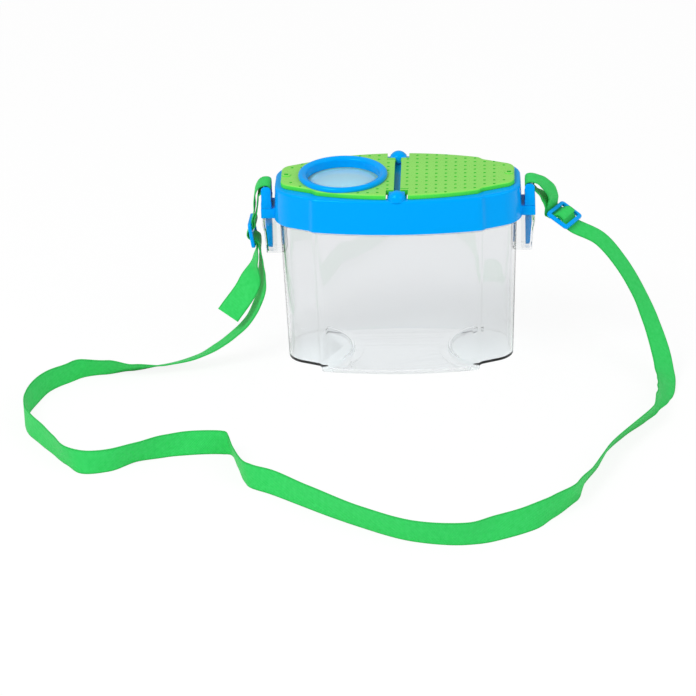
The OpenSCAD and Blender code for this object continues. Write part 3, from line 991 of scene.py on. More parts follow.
@dataclass
class Collar:
    """The blue collar: skirt, deck with its window, crossbar, hinge domes and clip brackets.

    Attributes:
        low: the skirt's lower edge.
        top: the deck's upper face.
        wall: thickness of the skirt.
        deck: thickness of the deck.
        edge: radius of the upper edge.
        draft: the top's length and depth as shares of the lower edge's.
        bar_half: half the crossbar's width.
        bar_reach: half its length.
        bar_rib: how far it goes down below the deck.
        cheek_y: where the hinge seats start.
        cheek_half: half a seat's width.
        cheek_rise: its height over the deck.
        dome_y: where the domes' middles lie.
        dome_radius: their radius.
        axis: X and Z of the right hinge's axis.
        bore_radius: radius of the bores for the pins.
        bracket_top: the brackets' upper face.
        bracket_x: their inner and outer sides.
        bracket_half: half their width.
        hole_x: inner and outer sides of the tongue's hole.
        hole_half: half its width.
        well_at: the middle of the lens's well.
        well_room: radius of the room for it.
    """

    low: float = 96.5
    top: float = 118.5
    wall: float = 2.0
    deck: float = 2.2
    edge: float = 1.8
    draft: Point2 = (0.99, 0.98)
    bar_half: float = 6.0
    bar_reach: float = 37.2
    bar_rib: float = 2.4
    cheek_y: float = 27.6
    cheek_half: float = 5.0
    cheek_rise: float = 2.9
    dome_y: float = 32.5
    dome_radius: float = 5.8
    axis: Point2 = (2.6, 119.6)
    bore_radius: float = 1.17
    bracket_top: float = 103.0
    bracket_x: Point2 = (74.0, 85.3)
    bracket_half: float = 9.4
    hole_x: Point2 = (78.5, 83.3)
    hole_half: float = 5.4
    well_at: Point2 = (-34.0, -2.5)
    well_room: float = 26.2

    def shell(self) -> bpy.types.Object:
        """Raises the collar's outside: a slight draft and a rounded upper edge."""
        rings = [(self.low, COLLAR_OVAL.points(0.35)), (self.low + 0.35, COLLAR_OVAL.points())]
        for i in range(8):
            turn = math.radians(90 * i / 7)
            z = self.top - self.edge * (1 - math.sin(turn))
            rings.append((z, COLLAR_OVAL.points(self.edge * (1 - math.cos(turn)) + 0.001, self.draft)))
        return Bench.stack("collar_shell", rings)

    def window(self) -> bpy.types.Object:
        """Raises the tool that cuts the deck's window, with the well's room and without the hinge seats."""
        line = FLAP_OVAL.points(2)
        low, high = self.top - self.deck - 1, self.top + 1
        tool = Bench.stack("window_tool", [(low, line), (high, line)])
        middle = (*self.well_at, (low + high) / 2)
        Bench.combine(tool, Bench.rod("well_room", middle, self.well_room, high - low, sides=96), "UNION")
        for s in (-1, 1):
            y0, y1 = sorted((s * self.cheek_y, s * 50))
            Bench.combine(tool, Bench.block("seat", (-self.bar_half, y0, 100), (self.bar_half, y1, 130)))
        return tool

    def hinge(self, s: int) -> bpy.types.Object:
        """Makes one hinge seat: a half dome over the collar's edge and the cheeks beside it.

        Args:
            s: the sign of its Y.

        Returns:
            The seat.
        """
        y0, y1 = sorted((s * self.cheek_y, s * (self.cheek_y + 6)))
        low, high = self.top - 1, self.top + self.cheek_rise
        seat = Bench.block("hinge_seat", (-self.cheek_half, y0, low), (self.cheek_half, y1, high), 0.5)
        middle = (0, s * self.dome_y * MM, (self.top - 0.7) * MM)
        bpy.ops.object.select_all(action="DESELECT")
        bpy.ops.mesh.primitive_uv_sphere_add(
            segments=48, ring_count=32, radius=self.dome_radius * MM, location=middle
        )
        dome = Bench.start("dome")
        Bench.slice_off(dome, (0, 0, middle[2]), (0, 0, -1))
        Bench.combine(seat, dome, "UNION")
        return seat

    def build(self) -> None:
        """Builds and dresses the collar."""
        collar = self.shell()
        inner = COLLAR_OVAL.points(self.wall)
        under = self.top - self.deck
        Bench.combine(collar, Bench.stack("skirt_tool", [(self.low - 1, inner), (under, inner)]))
        Bench.combine(collar, self.window())
        low = (-self.bar_half, -self.bar_reach, under - self.bar_rib)
        high = (self.bar_half, self.bar_reach, under + 0.1)
        Bench.combine(collar, Bench.block("crossbar", low, high), "UNION")
        across, hole = (-self.bracket_half, self.bracket_half), (-self.hole_half, self.hole_half)
        tall, through = (self.low, self.bracket_top), (self.low - 1, self.bracket_top + 1)
        for s in (-1, 1):
            Bench.combine(collar, self.hinge(s), "UNION")
            bracket = Bench.end_block("bracket", s, self.bracket_x, across, tall, 0.5)
            Bench.combine(collar, bracket, "UNION")
            Bench.combine(collar, Bench.end_block("tongue_hole", s, self.hole_x, hole, through))
        for sx in (-1, 1):
            for sy in (-1, 1):
                middle = (sx * self.axis[0], sy * (self.cheek_y + 1.6), self.axis[1])
                Bench.combine(collar, Bench.rod("bore", middle, self.bore_radius, 5.2, (0, 1, 0)))
        Bench.hand_over(collar, Finish.BLUE_ABS, Body.COLLAR, ["collar"], 32)


# ---------------------------------------------------------------- the flaps


@dataclass
class Flaps:
    """The two green lid flaps: vented plates with pins, a finger slit and a catch at the tip.

    Sizes are those of the right flap; the left one is that flap turned half round.

    Attributes:
        seat: the lower face, on the deck.
        height: from there to the upper face.
        plate: thickness of the plate over its hollow.
        slot_half: half the slot between the flaps.
        notch: X and Y where the notch at the hinge ends.
        slit: the finger slit's two sides along Y.
        pin_y: where the pins start and end.
        pin_radius: their radius.
        edge: radius of the upper edge.
        pitch: distance between the vents.
        vent_radius: radius of a vent.
        rows: first and last vent of each row across, in pitches from the middle.
        lens_at: the well's middle on the flap that has it.
        keep_off: how far from there the vents start.
        tip_x: the catch's middle.
        boss_radius: radius of the catch's boss.
        boss_tall: its height.
        catch_half: half the catch's square hole.
        axis: X and Z of the hinge's axis.
        well_radius: radius of the lens's well.
        well_wall: its wall.
        ledge_radius: the hole in the ledge that the lens lies on.
        ledge_z: the ledge's height.
    """

    seat: float = 118.5
    height: float = 3.2
    plate: float = 1.8
    slot_half: float = 2.0
    notch: Point2 = (6.8, 26.35)
    slit: Point2 = (-24.7, -23.7)
    pin_y: Point2 = (25.35, 30.2)
    pin_radius: float = 1.1
    edge: float = 1.1
    pitch: float = 6.0
    vent_radius: float = 0.9
    rows: tuple[tuple[int, int], ...] = (
        (-3, 4), (-5, 5), (-5, 5), (-5, 5), (-5, 5), (-4, 4), (-4, 4), (-4, 4), (-3, 3), (-3, 3),
    )
    lens_at: Point2 = (34.0, 2.5)
    keep_off: float = 29.0
    tip_x: float = 69.2
    boss_radius: float = 2.9
    boss_tall: float = 0.9
    catch_half: float = 1.2
    axis: Point2 = (2.6, 119.6)
    well_radius: float = 24.5
    well_wall: float = 1.3
    ledge_radius: float = 20.3
    ledge_z: float = 116.5

    @property
    def top(self) -> float:
        """The height of the flaps' upper face."""
        return self.seat + self.height

    def plate_solid(self) -> bpy.types.Object:
        """Raises the right flap's plate with rounded edges, hollow below and cut for its hinges."""
        rings = [(self.seat, FLAP_OVAL.points(0.2)), (self.seat + 0.3, FLAP_OVAL.points())]
        for i in range(7):
            turn = math.radians(90 * i / 6)
            z = self.top - self.edge * (1 - math.sin(turn))
            rings.append((z, FLAP_OVAL.points(self.edge * (1 - math.cos(turn)) + 0.001)))
        flap = Bench.stack("vent_flap", rings)
        Bench.slice_off(flap, (self.slot_half * MM, 0, 0), (-1, 0, 0))
        inner = FLAP_OVAL.points(3)
        hollow = Bench.stack("hollow_tool", [(self.seat - 1, inner), (self.top - self.plate, inner)])
        keep_y = self.notch[1] - 1.6
        keep = Bench.block("keep", (self.slot_half + 3, -keep_y, self.seat - 2), (90, keep_y, self.top))
        Bench.combine(hollow, keep, "INTERSECT")
        Bench.combine(flap, hollow)
        low, high = 100, 140
        for s in (-1, 1):
            y0, y1 = sorted((s * self.notch[1], s * 50))
            Bench.combine(flap, Bench.block("notch", (-1, y0, low), (self.notch[0], y1, high)))
        slit = Bench.block("finger_slit", (-1, self.slit[0], low), (self.notch[0] + 0.4, self.slit[1], high))
        Bench.combine(flap, slit)
        x, half = self.tip_x, self.catch_half
        boss = Bench.rod("boss", (x, 0, self.top + 0.1), self.boss_radius, self.boss_tall, round_mm=0.4)
        Bench.combine(flap, boss, "UNION")
        Bench.combine(flap, Bench.block("catch_hole", (x - half, -half, low), (x + half, half, high)))
        (x, z), (y0, y1) = self.axis, self.pin_y
        for s in (-1, 1):
            middle = (x, s * (y0 + y1) / 2, z)
            pin = Bench.rod("pin", middle, self.pin_radius, y1 - y0, (0, 1, 0), round_mm=0.2)
            Bench.combine(flap, pin, "UNION")
        return flap

    def vents(self, clear: bool) -> bpy.types.Object:
        """Sets out the vent drills of one flap.

        Args:
            clear: whether the drills round the magnifier are left out.

        Returns:
            All the drills as one tool.
        """
        spots: list[Point2] = []
        for i, (low, high) in enumerate(self.rows, 1):
            spots += [(i * self.pitch, j * self.pitch) for j in range(low, high + 1)]
        # the two single vents beside the catch
        spots += [(11 * self.pitch, 2 * s * self.pitch) for s in (-1, 1)]
        if clear:
            spots = [p for p in spots if math.dist(p, self.lens_at) > self.keep_off]
        first = Bench.rod("vent_drill", (*spots[0], self.top), self.vent_radius, 8, sides=14)
        drills = [first]
        for x, y in spots[1:]:
            move = Vector((x - spots[0][0], y - spots[0][1], 0)) * MM
            drills.append(Bench.copy(first, "drill", Matrix.Translation(move)))
        return Bench.merge("vent_drills", drills)

    def build(self) -> None:
        """Builds and dresses both flaps; the left one is the right one turned half round, with a well."""
        right = self.plate_solid()
        half_turn = Matrix.Rotation(math.pi, 4, "Z")
        left = Bench.copy(right, "vent_flap_left_plate", half_turn)
        Bench.combine(right, self.vents(False))
        right.name = right.data.name = "vent_flap_right_plate"
        drills = self.vents(True)
        Bench.settle(drills, half_turn)
        Bench.combine(left, drills)
        x, y = -self.lens_at[0], -self.lens_at[1]
        low, high = self.ledge_z - 1.4, self.top - 0.6
        middle, outside = (x, y, (low + high) / 2), self.well_radius + self.well_wall
        Bench.combine(left, Bench.rod("well", middle, outside, high - low, sides=96), "UNION")
        Bench.combine(left, Bench.rod("well_bore", (x, y, self.ledge_z + 10), self.well_radius, 20, sides=96))
        Bench.combine(left, Bench.rod("ledge_bore", (x, y, self.ledge_z), self.ledge_radius, 20, sides=96))
        Bench.hand_over(right, Finish.GREEN_PP, Body.FLAP_RIGHT, ["vent_flap_right"], 32)
        Bench.hand_over(left, Finish.GREEN_PP, Body.FLAP_LEFT, ["vent_flap_left"], 32)


@dataclass
class Magnifier:
    """The blue bezel with its round lip, and the clear lens that it holds down.

    Attributes:
        centre: X and Y of both middles.
        flap_top: the flap's upper face.
        ledge_z: the ledge that the lens lies on.
        lip_at: the lip's middle, from the centre.
        lip_radius: its radius.
        roll: radius of the lip's inner edge.
        bore: radius of the bezel's bore.
        skirt: outer radius of the part in the well.
        lens_radius: the lens's radius.
        lens_edge: its thickness at the edge.
        lens_rise: how far its dome rises over that.
    """

    centre: Point2 = (-34.0, -2.5)
    flap_top: float = 121.7
    ledge_z: float = 116.5
    lip_at: float = 25.9
    lip_radius: float = 1.9
    roll: float = 1.6
    bore: float = 22.7
    skirt: float = 24.3
    lens_radius: float = 24.0
    lens_edge: float = 1.5
    lens_rise: float = 2.6

    def build(self) -> None:
        """Builds and dresses the bezel and the lens."""
        mid = self.flap_top + self.lip_radius * 0.55
        foot = self.ledge_z + self.lens_edge + 0.05
        seat = self.flap_top + 0.03
        bore, skirt, r = self.bore, self.skirt, self.roll
        profile = [(bore, foot + 0.2), (bore, mid - r)]
        profile += arc((bore + r, mid - 0.2), r, 180, 125, 5)
        profile += arc((self.lip_at, mid), self.lip_radius, 108, -32, 18)
        profile += [(self.lip_at + 1.2, seat), (skirt + 0.1, seat), (skirt, seat - 0.1)]
        profile += [(skirt, foot + 0.2), (skirt - 0.2, foot), (bore + 0.2, foot)]
        bezel = Bench.turn_up("lens_bezel_ring", profile, self.centre, 120)
        Bench.hand_over(bezel, Finish.BLUE_ABS, Body.FLAP_LEFT, ["lens_bezel"], 40)
        dome = self.skirt - 1.8
        ball = (dome**2 + self.lens_rise**2) / (2 * self.lens_rise)
        turn = math.degrees(math.asin(dome / ball))
        r, low, high, cut = self.lens_radius, self.ledge_z, self.ledge_z + self.lens_edge, 0.15
        crown = arc((0, high + self.lens_rise - ball), ball, 90 - turn, 90, 20)
        profile = [(0, low), (r * 0.5, low), (r - cut, low), (r, low + cut), (r, high - cut), (r - cut, high)]
        lens = Bench.turn_up("magnifier_lens", profile + crown, self.centre, 96)
        Bench.hand_over(lens, Finish.CLEAR_LENS, Body.FLAP_LEFT, ["lens"], 30)


# ---------------------------------------------------------------- clips and sliders


@dataclass
class StrapClip:
    """A strap clip: a head with a bar for the webbing, and a tongue that goes down into the pocket.

    Attributes:
        side: the end of the keeper that it sits on.
        x: the head's inner and outer sides.
        half: half its width.
        low: its foot, on the bracket.
        height: its height.
        base: height of the block below the cheeks.
        bar: X and Z of the bar, and its radius.
        cheek_in: the cheeks' inner sides.
        cheek_round: radius of their tops.
        tongue_x: the tongue's inner and outer faces.
        tongue_half: half its width.
        tongue: how far it goes down.
    """

    side: Side
    x: Point2 = (78.6, 85.2)
    half: float = 9.4
    low: float = 103.0
    height: float = 14.2
    base: float = 3.8
    bar: Point3 = (82.1, 115.4, 1.6)
    cheek_in: float = 7.8
    cheek_round: float = 2.3
    tongue_x: Point2 = (78.9, 82.9)
    tongue_half: float = 5.0
    tongue: float = 28.0

    def head(self) -> bpy.types.Object:
        """Makes the head: base block, two cheeks with rounded tops and the bar between them."""
        (x0, x1), base, top = self.x, self.low + self.base, self.low + self.height
        head = Bench.block("clip_base", (x0, -self.half, self.low), (x1, self.half, base), 0.5)
        for s in (-1, 1):
            y0, y1 = sorted((s * self.cheek_in, s * self.half))
            cheek = Bench.block("cheek", (x0 + 0.3, y0, base - 1), (x1 - 0.3, y1, top))
            bpy.ops.object.mode_set(mode="EDIT")
            bpy.ops.mesh.select_mode(type="EDGE")
            mesh = bmesh.from_edit_mesh(cheek.data)
            for edge in mesh.edges:
                one, two = (v.co for v in edge.verts)
                level = max(abs(one.z - top * MM), abs(two.z - top * MM)) < 1e-6
                edge.select_set(level and abs(one.x - two.x) < 1e-6)
            mesh.select_flush_mode()
            bmesh.update_edit_mesh(cheek.data)
            bpy.ops.mesh.bevel(offset=self.cheek_round * MM, segments=8, affect="EDGES")
            bpy.ops.mesh.select_mode(type="VERT")
            bpy.ops.object.mode_set(mode="OBJECT")
            Bench.combine(head, cheek, "UNION")
        rod = Bench.rod("bar", (self.bar[0], 0, self.bar[1]), self.bar[2], 2 * self.cheek_in + 1, (0, 1, 0))
        Bench.combine(head, rod, "UNION")
        return head

    def tongue_solid(self) -> bpy.types.Object:
        """Raises the tongue from its thin tip to the head."""
        x0, x1 = self.tongue_x
        tip = self.low - self.tongue
        h = self.tongue_half
        # height, outer face, and how far the sides are drawn in
        levels = [(tip, x1 - 2.2, 1.2), (tip + 0.6, x1 - 1.6, 0.4), (tip + 1.5, x1 - 1.2, 0)]
        levels += [(self.low - 12, x1, 0), (self.low + 1, x1, 0)]
        rings = [(z, [(x0, d - h), (x, d - h), (x, h - d), (x0, h - d)]) for z, x, d in levels]
        return Bench.stack("tongue", rings)

    def build(self) -> None:
        """Builds and dresses this side's clip; the left one is the right one mirrored."""
        clip = self.head()
        Bench.combine(clip, self.tongue_solid(), "UNION")
        Bench.ease(clip, 0.25)
        if self.side is Side.LEFT:
            Bench.settle(clip, Matrix.Scale(-1, 4, (1, 0, 0)))
        clip.name = clip.data.name = f"clip_{self.side.word}_body"
        Bench.hand_over(clip, Finish.BLUE_ABS, self.side.clip, [f"strap_clip_{self.side.word}"], 32)


@dataclass
class Slider:
    """A three-bar slider on the webbing, placed and turned as it lies in the photograph.

    Attributes:
        side: the clip that it belongs to.
        at: its middle.
        turn: its turns about X, Y and Z, in degrees.
        length: its size along the webbing.
        width: its size across it.
        thick: its thickness.
        rail: width of the two side rails.
        end_bar: width of the end bars.
        mid_bar: width of the middle bar.
        corner: radius of the corners.
        edge: radius of the edges.
    """

    side: Side
    at: Point3
    turn: Point3
    length: float = 16.5
    width: float = 20.5
    thick: float = 2.2
    rail: float = 2.1
    end_bar: float = 2.4
    mid_bar: float = 2.6
    corner: float = 2.4
    edge: float = 0.55

    def frame_matrix(self) -> Matrix:
        """Returns the slider's own frame: X along the webbing, Y across it, Z out of its face."""
        turn = Euler([math.radians(a) for a in self.turn], "XYZ").to_matrix().to_4x4()
        return Matrix.Translation([c * MM for c in self.at]) @ turn

    def spot(self, along: float, height: float) -> Vector:
        """Finds a point over the slider's middle line.

        Args:
            along: how far along the slider it lies.
            height: how high over its middle plane.

        Returns:
            The point in the row frame, in millimetres.
        """
        return (self.frame_matrix() @ (Vector((along, 0, height)) * MM)) / MM

    def build(self) -> bpy.types.Object:
        """Builds and dresses the slider."""
        a, b, c = self.length / 2 - self.corner, self.width / 2 - self.corner, self.corner
        line: list[Point2] = []
        for sx, sy, start in ((1, 1, 0), (-1, 1, 90), (-1, -1, 180), (1, -1, 270)):
            line += arc((sx * a, sy * b), c, start, start + 90, 6)
        half, r = self.thick / 2, self.edge
        upper = []
        for t in QUARTER_TURN:
            upper.append((half - r * (1 - math.sin(t)), drawn_in(line, r * (1 - math.cos(t)) + 0.001)))
        lower = [(-z, ring) for z, ring in reversed(upper)]
        slider = Bench.stack("slider", lower + upper)
        y = self.width / 2 - self.rail
        x0, x1 = self.mid_bar / 2, self.length / 2 - self.end_bar
        for s in (-1, 1):
            low, high = sorted((s * x0, s * x1))
            Bench.combine(slider, Bench.block("window", (low, -y, -3), (high, y, 3)))
            z0, z1 = sorted((s * 0.5, s * 3))
            Bench.combine(slider, Bench.block("thin", (-x0 - 0.01, -y, z0), (x0 + 0.01, y, z1)))
        Bench.ease(slider, 0.3, 50)
        Bench.settle(slider, self.frame_matrix())
        slider.name = slider.data.name = f"slider_{self.side.word}_frame"
        return Bench.hand_over(slider, Finish.BLUE_ABS, self.side.clip, [f"slider_{self.side.word}"], 40)


# ---------------------------------------------------------------- the strap

TAIL_ROUTE: list[Station] = [
    (-108, -14, 33, 0.75, -0.27, -0.6), (-95, -6, 50, 0.65, -0.5, -0.55), (-90.2, -2, 66, 0.1, -0.95, -0.3),
]
BAR_LEFT: list[Station] = [
    (-89.7, 0, 99, 0, -1, 0), (-89.6, 0, 106, 0, -1, 0), (-88.5, 0, 112.5, 0, -1, 0),
    (-85.8, 0, 116.8, 0, -1, 0), (-82.3, 0, 117.9, 0, -1, 0), (-80, 0, 117.2, 0, -1, 0),
    (-79.2, 0, 114.8, 0, -1, 0), (-81, 0, 112.6, 0, -1, 0), (-84.6, 0, 112.4, 0, -1, 0),
    (-86.6, 0, 110.8, 0, -1, 0), (-87.4, 0, 107, 0, -1, 0), (-88, 0, 100, 0, -1, 0),
]
RISER_LEFT: list[Station] = [
    (-86.6, -1, 65, 0.2, -0.98, 0), (-86.4, -2, 56, 0.32, -0.94, 0.08), (-86.8, -4, 47, 0.36, -0.92, 0.12),
    (-90, -6, 37, 0.3, -0.94, 0.12), (-96, -9, 27, 0.22, -0.96, 0.12), (-105, -12, 19, 0.2, -0.95, 0.15),
    (-115, -15, 12.5, 0.2, -0.95, 0.2), (-128, -19, 7, 0.1, -0.95, 0.28),
]
FLOOR_ROUTE: list[Station] = [
    (-148, -23, 3.5, 0, -0.93, 0.37), (-168, -29, 4.6, -0.24, -0.77, 0.59),
    (-184, -32, 6.3, -0.29, -0.5, 0.81), (-200, -35, 6.8, -0.33, -0.35, 0.87),
    (-209, -43, 7, -0.2, -0.35, 0.91), (-219, -54, 7.3, -0.17, -0.25, 0.95),
    (-226, -71, 7.5, -0.18, 0.05, 0.98), (-229.5, -88, 7.5, -0.1, 0, 0.98),
    (-229, -104, 7.5, 0, -0.1, 0.99), (-225, -116, 7.5, 0.1, -0.1, 0.98),
    (-217, -130, 7.5, 0.1, -0.15, 0.97), (-208, -146, 7.5, 0, -0.2, 0.98),
    (-200, -160, 7.5, -0.1, -0.2, 0.98), (-189, -170, 7.5, 0, 0.1, 1),
    (-173, -168, 7.5, 0, 0, 1), (-157, -157, 7.5, 0, -0.25, 0.97),
    (-140, -149, 7.5, -0.1, 0, 0.97), (-124, -145, 7.5, -0.2, 0.2, 0.95),
    (-106, -145, 7.5, -0.2, 0.18, 0.97), (-102, -147, 7.5, -0.25, 0.15, 0.97),
    (-97, -165, 7.5, -0.25, 0.1, 0.95), (-91, -185, 7.5, -0.15, 0.1, 0.97),
    (-86, -192, 7.5, 0, 0.15, 0.97), (-74, -200, 7.5, 0.1, 0.2, 0.96),
    (-52, -220, 7.5, 0.2, -0.1, 0.97), (-19, -248, 7.5, 0.03, -0.15, 0.99),
    (12, -267, 7.5, 0, -0.15, 0.99), (43, -271, 7.5, 0, -0.07, 1),
    (62, -262, 7.2, -0.14, 0.3, 0.93), (80, -250, 7, -0.4, 0.1, 0.9),
    (93, -236, 7, -0.27, -0.3, 0.91), (107, -216, 6.5, -0.14, -0.57, 0.8),
    (114, -194, 6, 0.19, -0.63, 0.75), (122, -173, 6.6, 0.27, -0.42, 0.87),
    (129, -151, 6, 0.3, -0.57, 0.76), (141, -129, 6.3, 0.5, -0.27, 0.8),
    (153, -109, 6.5, 0.25, -0.5, 0.83), (158.5, -92, 6, -0.2, -0.6, 0.75),
    (162.5, -78, 5.6, -0.5, -0.5, 0.7),
]
RISER_RIGHT: list[Station] = [
    (164.5, -65, 6.5, -0.68, -0.45, 0.55), (164, -50, 9, -0.74, -0.58, 0.32),
    (161.5, -35, 17, -0.75, -0.63, 0.2), (156, -23, 31, -0.62, -0.78, 0.08),
    (149, -15, 46, -0.5, -0.86, 0.05), (138, -9, 64, -0.46, -0.88, 0), (125, -6, 79, -0.48, -0.88, 0),
]
BAR_RIGHT: list[Station] = [
    (93, 0, 102.2, -0.35, -0.93, 0), (90.2, 0.1, 105.2, -0.2, -0.97, 0.1), (87.2, 0, 108.5, 0, -0.97, 0.2),
    (84.6, 0, 111.3, 0, -0.98, 0.18), (81.4, 0, 112.7, 0, -1, 0), (79.2, 0, 114.8, 0, -1, 0),
    (80, 0, 117.2, 0, -1, 0), (82.3, 0, 117.9, 0, -1, 0), (86.5, 0, 117, 0, -1, 0),
    (91.8, 0.2, 113, -0.1, -0.98, -0.15), (95.8, 1, 107, -0.3, -0.95, -0.1),
    (96.2, 1.3, 101.5, -0.45, -0.89, 0),
]


@dataclass
class Stretch:
    """One stretch of the strap between two stations of the route.

    Attributes:
        name: the piece's name.
        nodes: the CAD nodes that it stands for.
        first: its first station.
        last: its last station.
        bodies: the body that it rides on, or the two that it bends between.
        goes_with: the stretch that this one belongs to, if it is too short to stand alone.
    """

    name: str
    nodes: tuple[str, ...]
    first: int
    last: int
    bodies: tuple[Body, ...]
    goes_with: str = ""


@dataclass
class Strap:
    """The green webbing: one length, threaded through both clips and both sliders.

    Attributes:
        left: the left slider.
        right: the right slider.
        width: the webbing's width.
        thick: its thickness.
        step: how far apart the swept sections lie.
        route: all its stations, from the cut tail to the sewn end.
    """

    left: Slider
    right: Slider
    width: float = 15.0
    thick: float = 0.8
    step: float = 1.6
    route: list[Station] = field(default_factory=list)

    @staticmethod
    def weave(slider: Slider, side: int, heights: Sequence[Point2]) -> list[Station]:
        """Leads one strand through a slider.

        Args:
            slider: the slider that it passes.
            side: which way the webbing's width points along the slider's own Y.
            heights: each station as how far along the slider and how high over its middle.

        Returns:
            The strand's stations.
        """
        across = slider.frame_matrix().to_3x3() @ Vector((0, side, 0))
        return [(*slider.spot(u, h), *across) for u, h in heights]

    def lay_out(self) -> list[Stretch]:
        """Joins the route from the cut tail to the sewn end and divides it into stretches."""
        into_left = [(9, -1.6), (5.4, -1.6), (1.7, 2.5), (-1.7, 2.5), (-5.4, -1.6), (-9, -1.6)]
        out_left = [(-9, -3), (-5.4, -3), (-1.7, 1.1), (1.7, 1.1), (5.4, -3), (9, -3)]
        into_right = [(9, -1.9), (5.4, -1.7), (1.7, 1.1), (-1.7, 1.1), (-5.4, -3), (-9, -3)]
        out_right = [(-9, -1.6), (-5.4, -1.6), (-1.7, 2.5), (1.7, 2.5), (2.8, 2)]
        one, two = self.left, self.right
        loop_left = self.weave(one, 1, into_left) + BAR_LEFT + self.weave(one, 1, out_left)
        loop_right = self.weave(two, -1, into_right) + BAR_RIGHT + self.weave(two, -1, out_right)
        self.route = TAIL_ROUTE + loop_left + RISER_LEFT + FLOOR_ROUTE + RISER_RIGHT + loop_right
        # the stations at the left loop's end, the ground run's two ends and the right loop's start
        left = len(TAIL_ROUTE) + len(loop_left) - 1
        ground = left + len(RISER_LEFT) + 1
        end = ground + len(FLOOR_ROUTE) - 1
        right = end + len(RISER_RIGHT) + 1
        rows = [
            ("loop_left", 0, left, (Body.CLIP_LEFT,)),
            ("riser_left_upper", left, left + 5, (Body.CLIP_LEFT, Body.COLLAR)),
            ("riser_left_lower", left + 5, ground + 2, (Body.COLLAR, Body.TUB)),
            ("floor_run", ground + 2, end - 2, (Body.TUB,)),
            ("riser_right_upper", right - 4, right, (Body.COLLAR, Body.CLIP_RIGHT)),
            ("riser_right_lower", end - 2, right - 4, (Body.TUB, Body.COLLAR)),
            ("loop_right", right, len(self.route) - 1, (Body.CLIP_RIGHT,)),
        ]
        stretches = []
        for name, first, last, bodies in rows:
            nodes = ("strap_tail_left", "strap_loop_left") if name == "loop_left" else ("strap_" + name,)
            # an upper riser comes before the lower one that it goes with
            goes_with = "webbing_" + name.replace("upper", "lower") if name.endswith("upper") else ""
            stretches.append(Stretch("webbing_" + name, nodes, first, last, bodies, goes_with))
        return stretches

    def between(self, k: int, t: float) -> tuple[Vector, Vector]:
        """Places the webbing between two stations.

        Args:
            k: the station before.
            t: how far on to the next one, from 0 to 1.

        Returns:
            Its middle and the direction of its width.
        """
        last = len(self.route) - 1
        rows = [self.route[min(max(k + i, 0), last)] for i in (-1, 0, 1, 2)]
        p = [Vector(r[:3]) for r in rows]
        if k == 0:
            p[0] = 2 * p[1] - p[2]
        if k + 2 > last:
            p[3] = 2 * p[2] - p[1]
        # centripetal knots, which keep the curve from swinging wide at unequal steps
        knots = [0.0]
        for one, two in zip(p, p[1:]):
            knots.append(knots[-1] + max(1e-6, (two - one).length) ** 0.5)
        s = knots[1] + (knots[2] - knots[1]) * t

        def mixed(a: Vector, b: Vector, i: int, j: int) -> Vector:
            """Returns the point at s on the line that has a at knot i and b at knot j."""
            return a * ((knots[j] - s) / (knots[j] - knots[i])) + b * ((s - knots[i]) / (knots[j] - knots[i]))

        one, two, three = mixed(p[0], p[1], 0, 1), mixed(p[1], p[2], 1, 2), mixed(p[2], p[3], 2, 3)
        point = mixed(mixed(one, two, 0, 2), mixed(two, three, 1, 3), 1, 2)
        ease = t * t * (3 - 2 * t)
        across = Vector(rows[1][3:]).normalized().lerp(Vector(rows[2][3:]).normalized(), ease)
        return point, across.normalized()

    def frames(self, stretch: Stretch) -> list[tuple[Vector, Vector, Vector, float]]:
        """Sets out one stretch's sections.

        Args:
            stretch: the stretch.

        Returns:
            Each section's middle, width's and face's directions, and the length up to it.
        """
        spots: list[tuple[Vector, Vector, Vector]] = []
        for k in range(stretch.first, stretch.last):
            gap = (Vector(self.route[k + 1][:3]) - Vector(self.route[k][:3])).length
            count = max(2, round(gap / self.step))
            for i in range(count):
                spots.append(self.section(k, i / count))
        spots.append(self.section(stretch.last - 1, 1.0))
        length, rows = 0.0, []
        for i, (point, across, face) in enumerate(spots):
            length += (point - spots[i - 1][0]).length if i else 0.0
            rows.append((point, across, face, length))
        return rows

    def section(self, k: int, t: float) -> tuple[Vector, Vector, Vector]:
        """Places one section of the webbing, square to its run.

        Args:
            k: the station before.
            t: how far on to the next one, from 0 to 1.

        Returns:
            Its middle, and the directions of its width and its face.
        """
        if t >= 1 and k < len(self.route) - 2:
            k, t = k + 1, 0.0
        point, across = self.between(k, t)
        low = self.between(k, t - 0.02)[0] if t > 0.02 or k == 0 else self.between(k - 1, 0.98)[0]
        high = self.between(k, min(1.0, t + 0.02))[0]
        if (high - low).length < 1e-9:
            low = self.between(k, max(0.0, t - 0.05))[0]
        ahead = (high - low).normalized()
        across = (across - ahead * across.dot(ahead)).normalized()
        return point, across, ahead.cross(across)

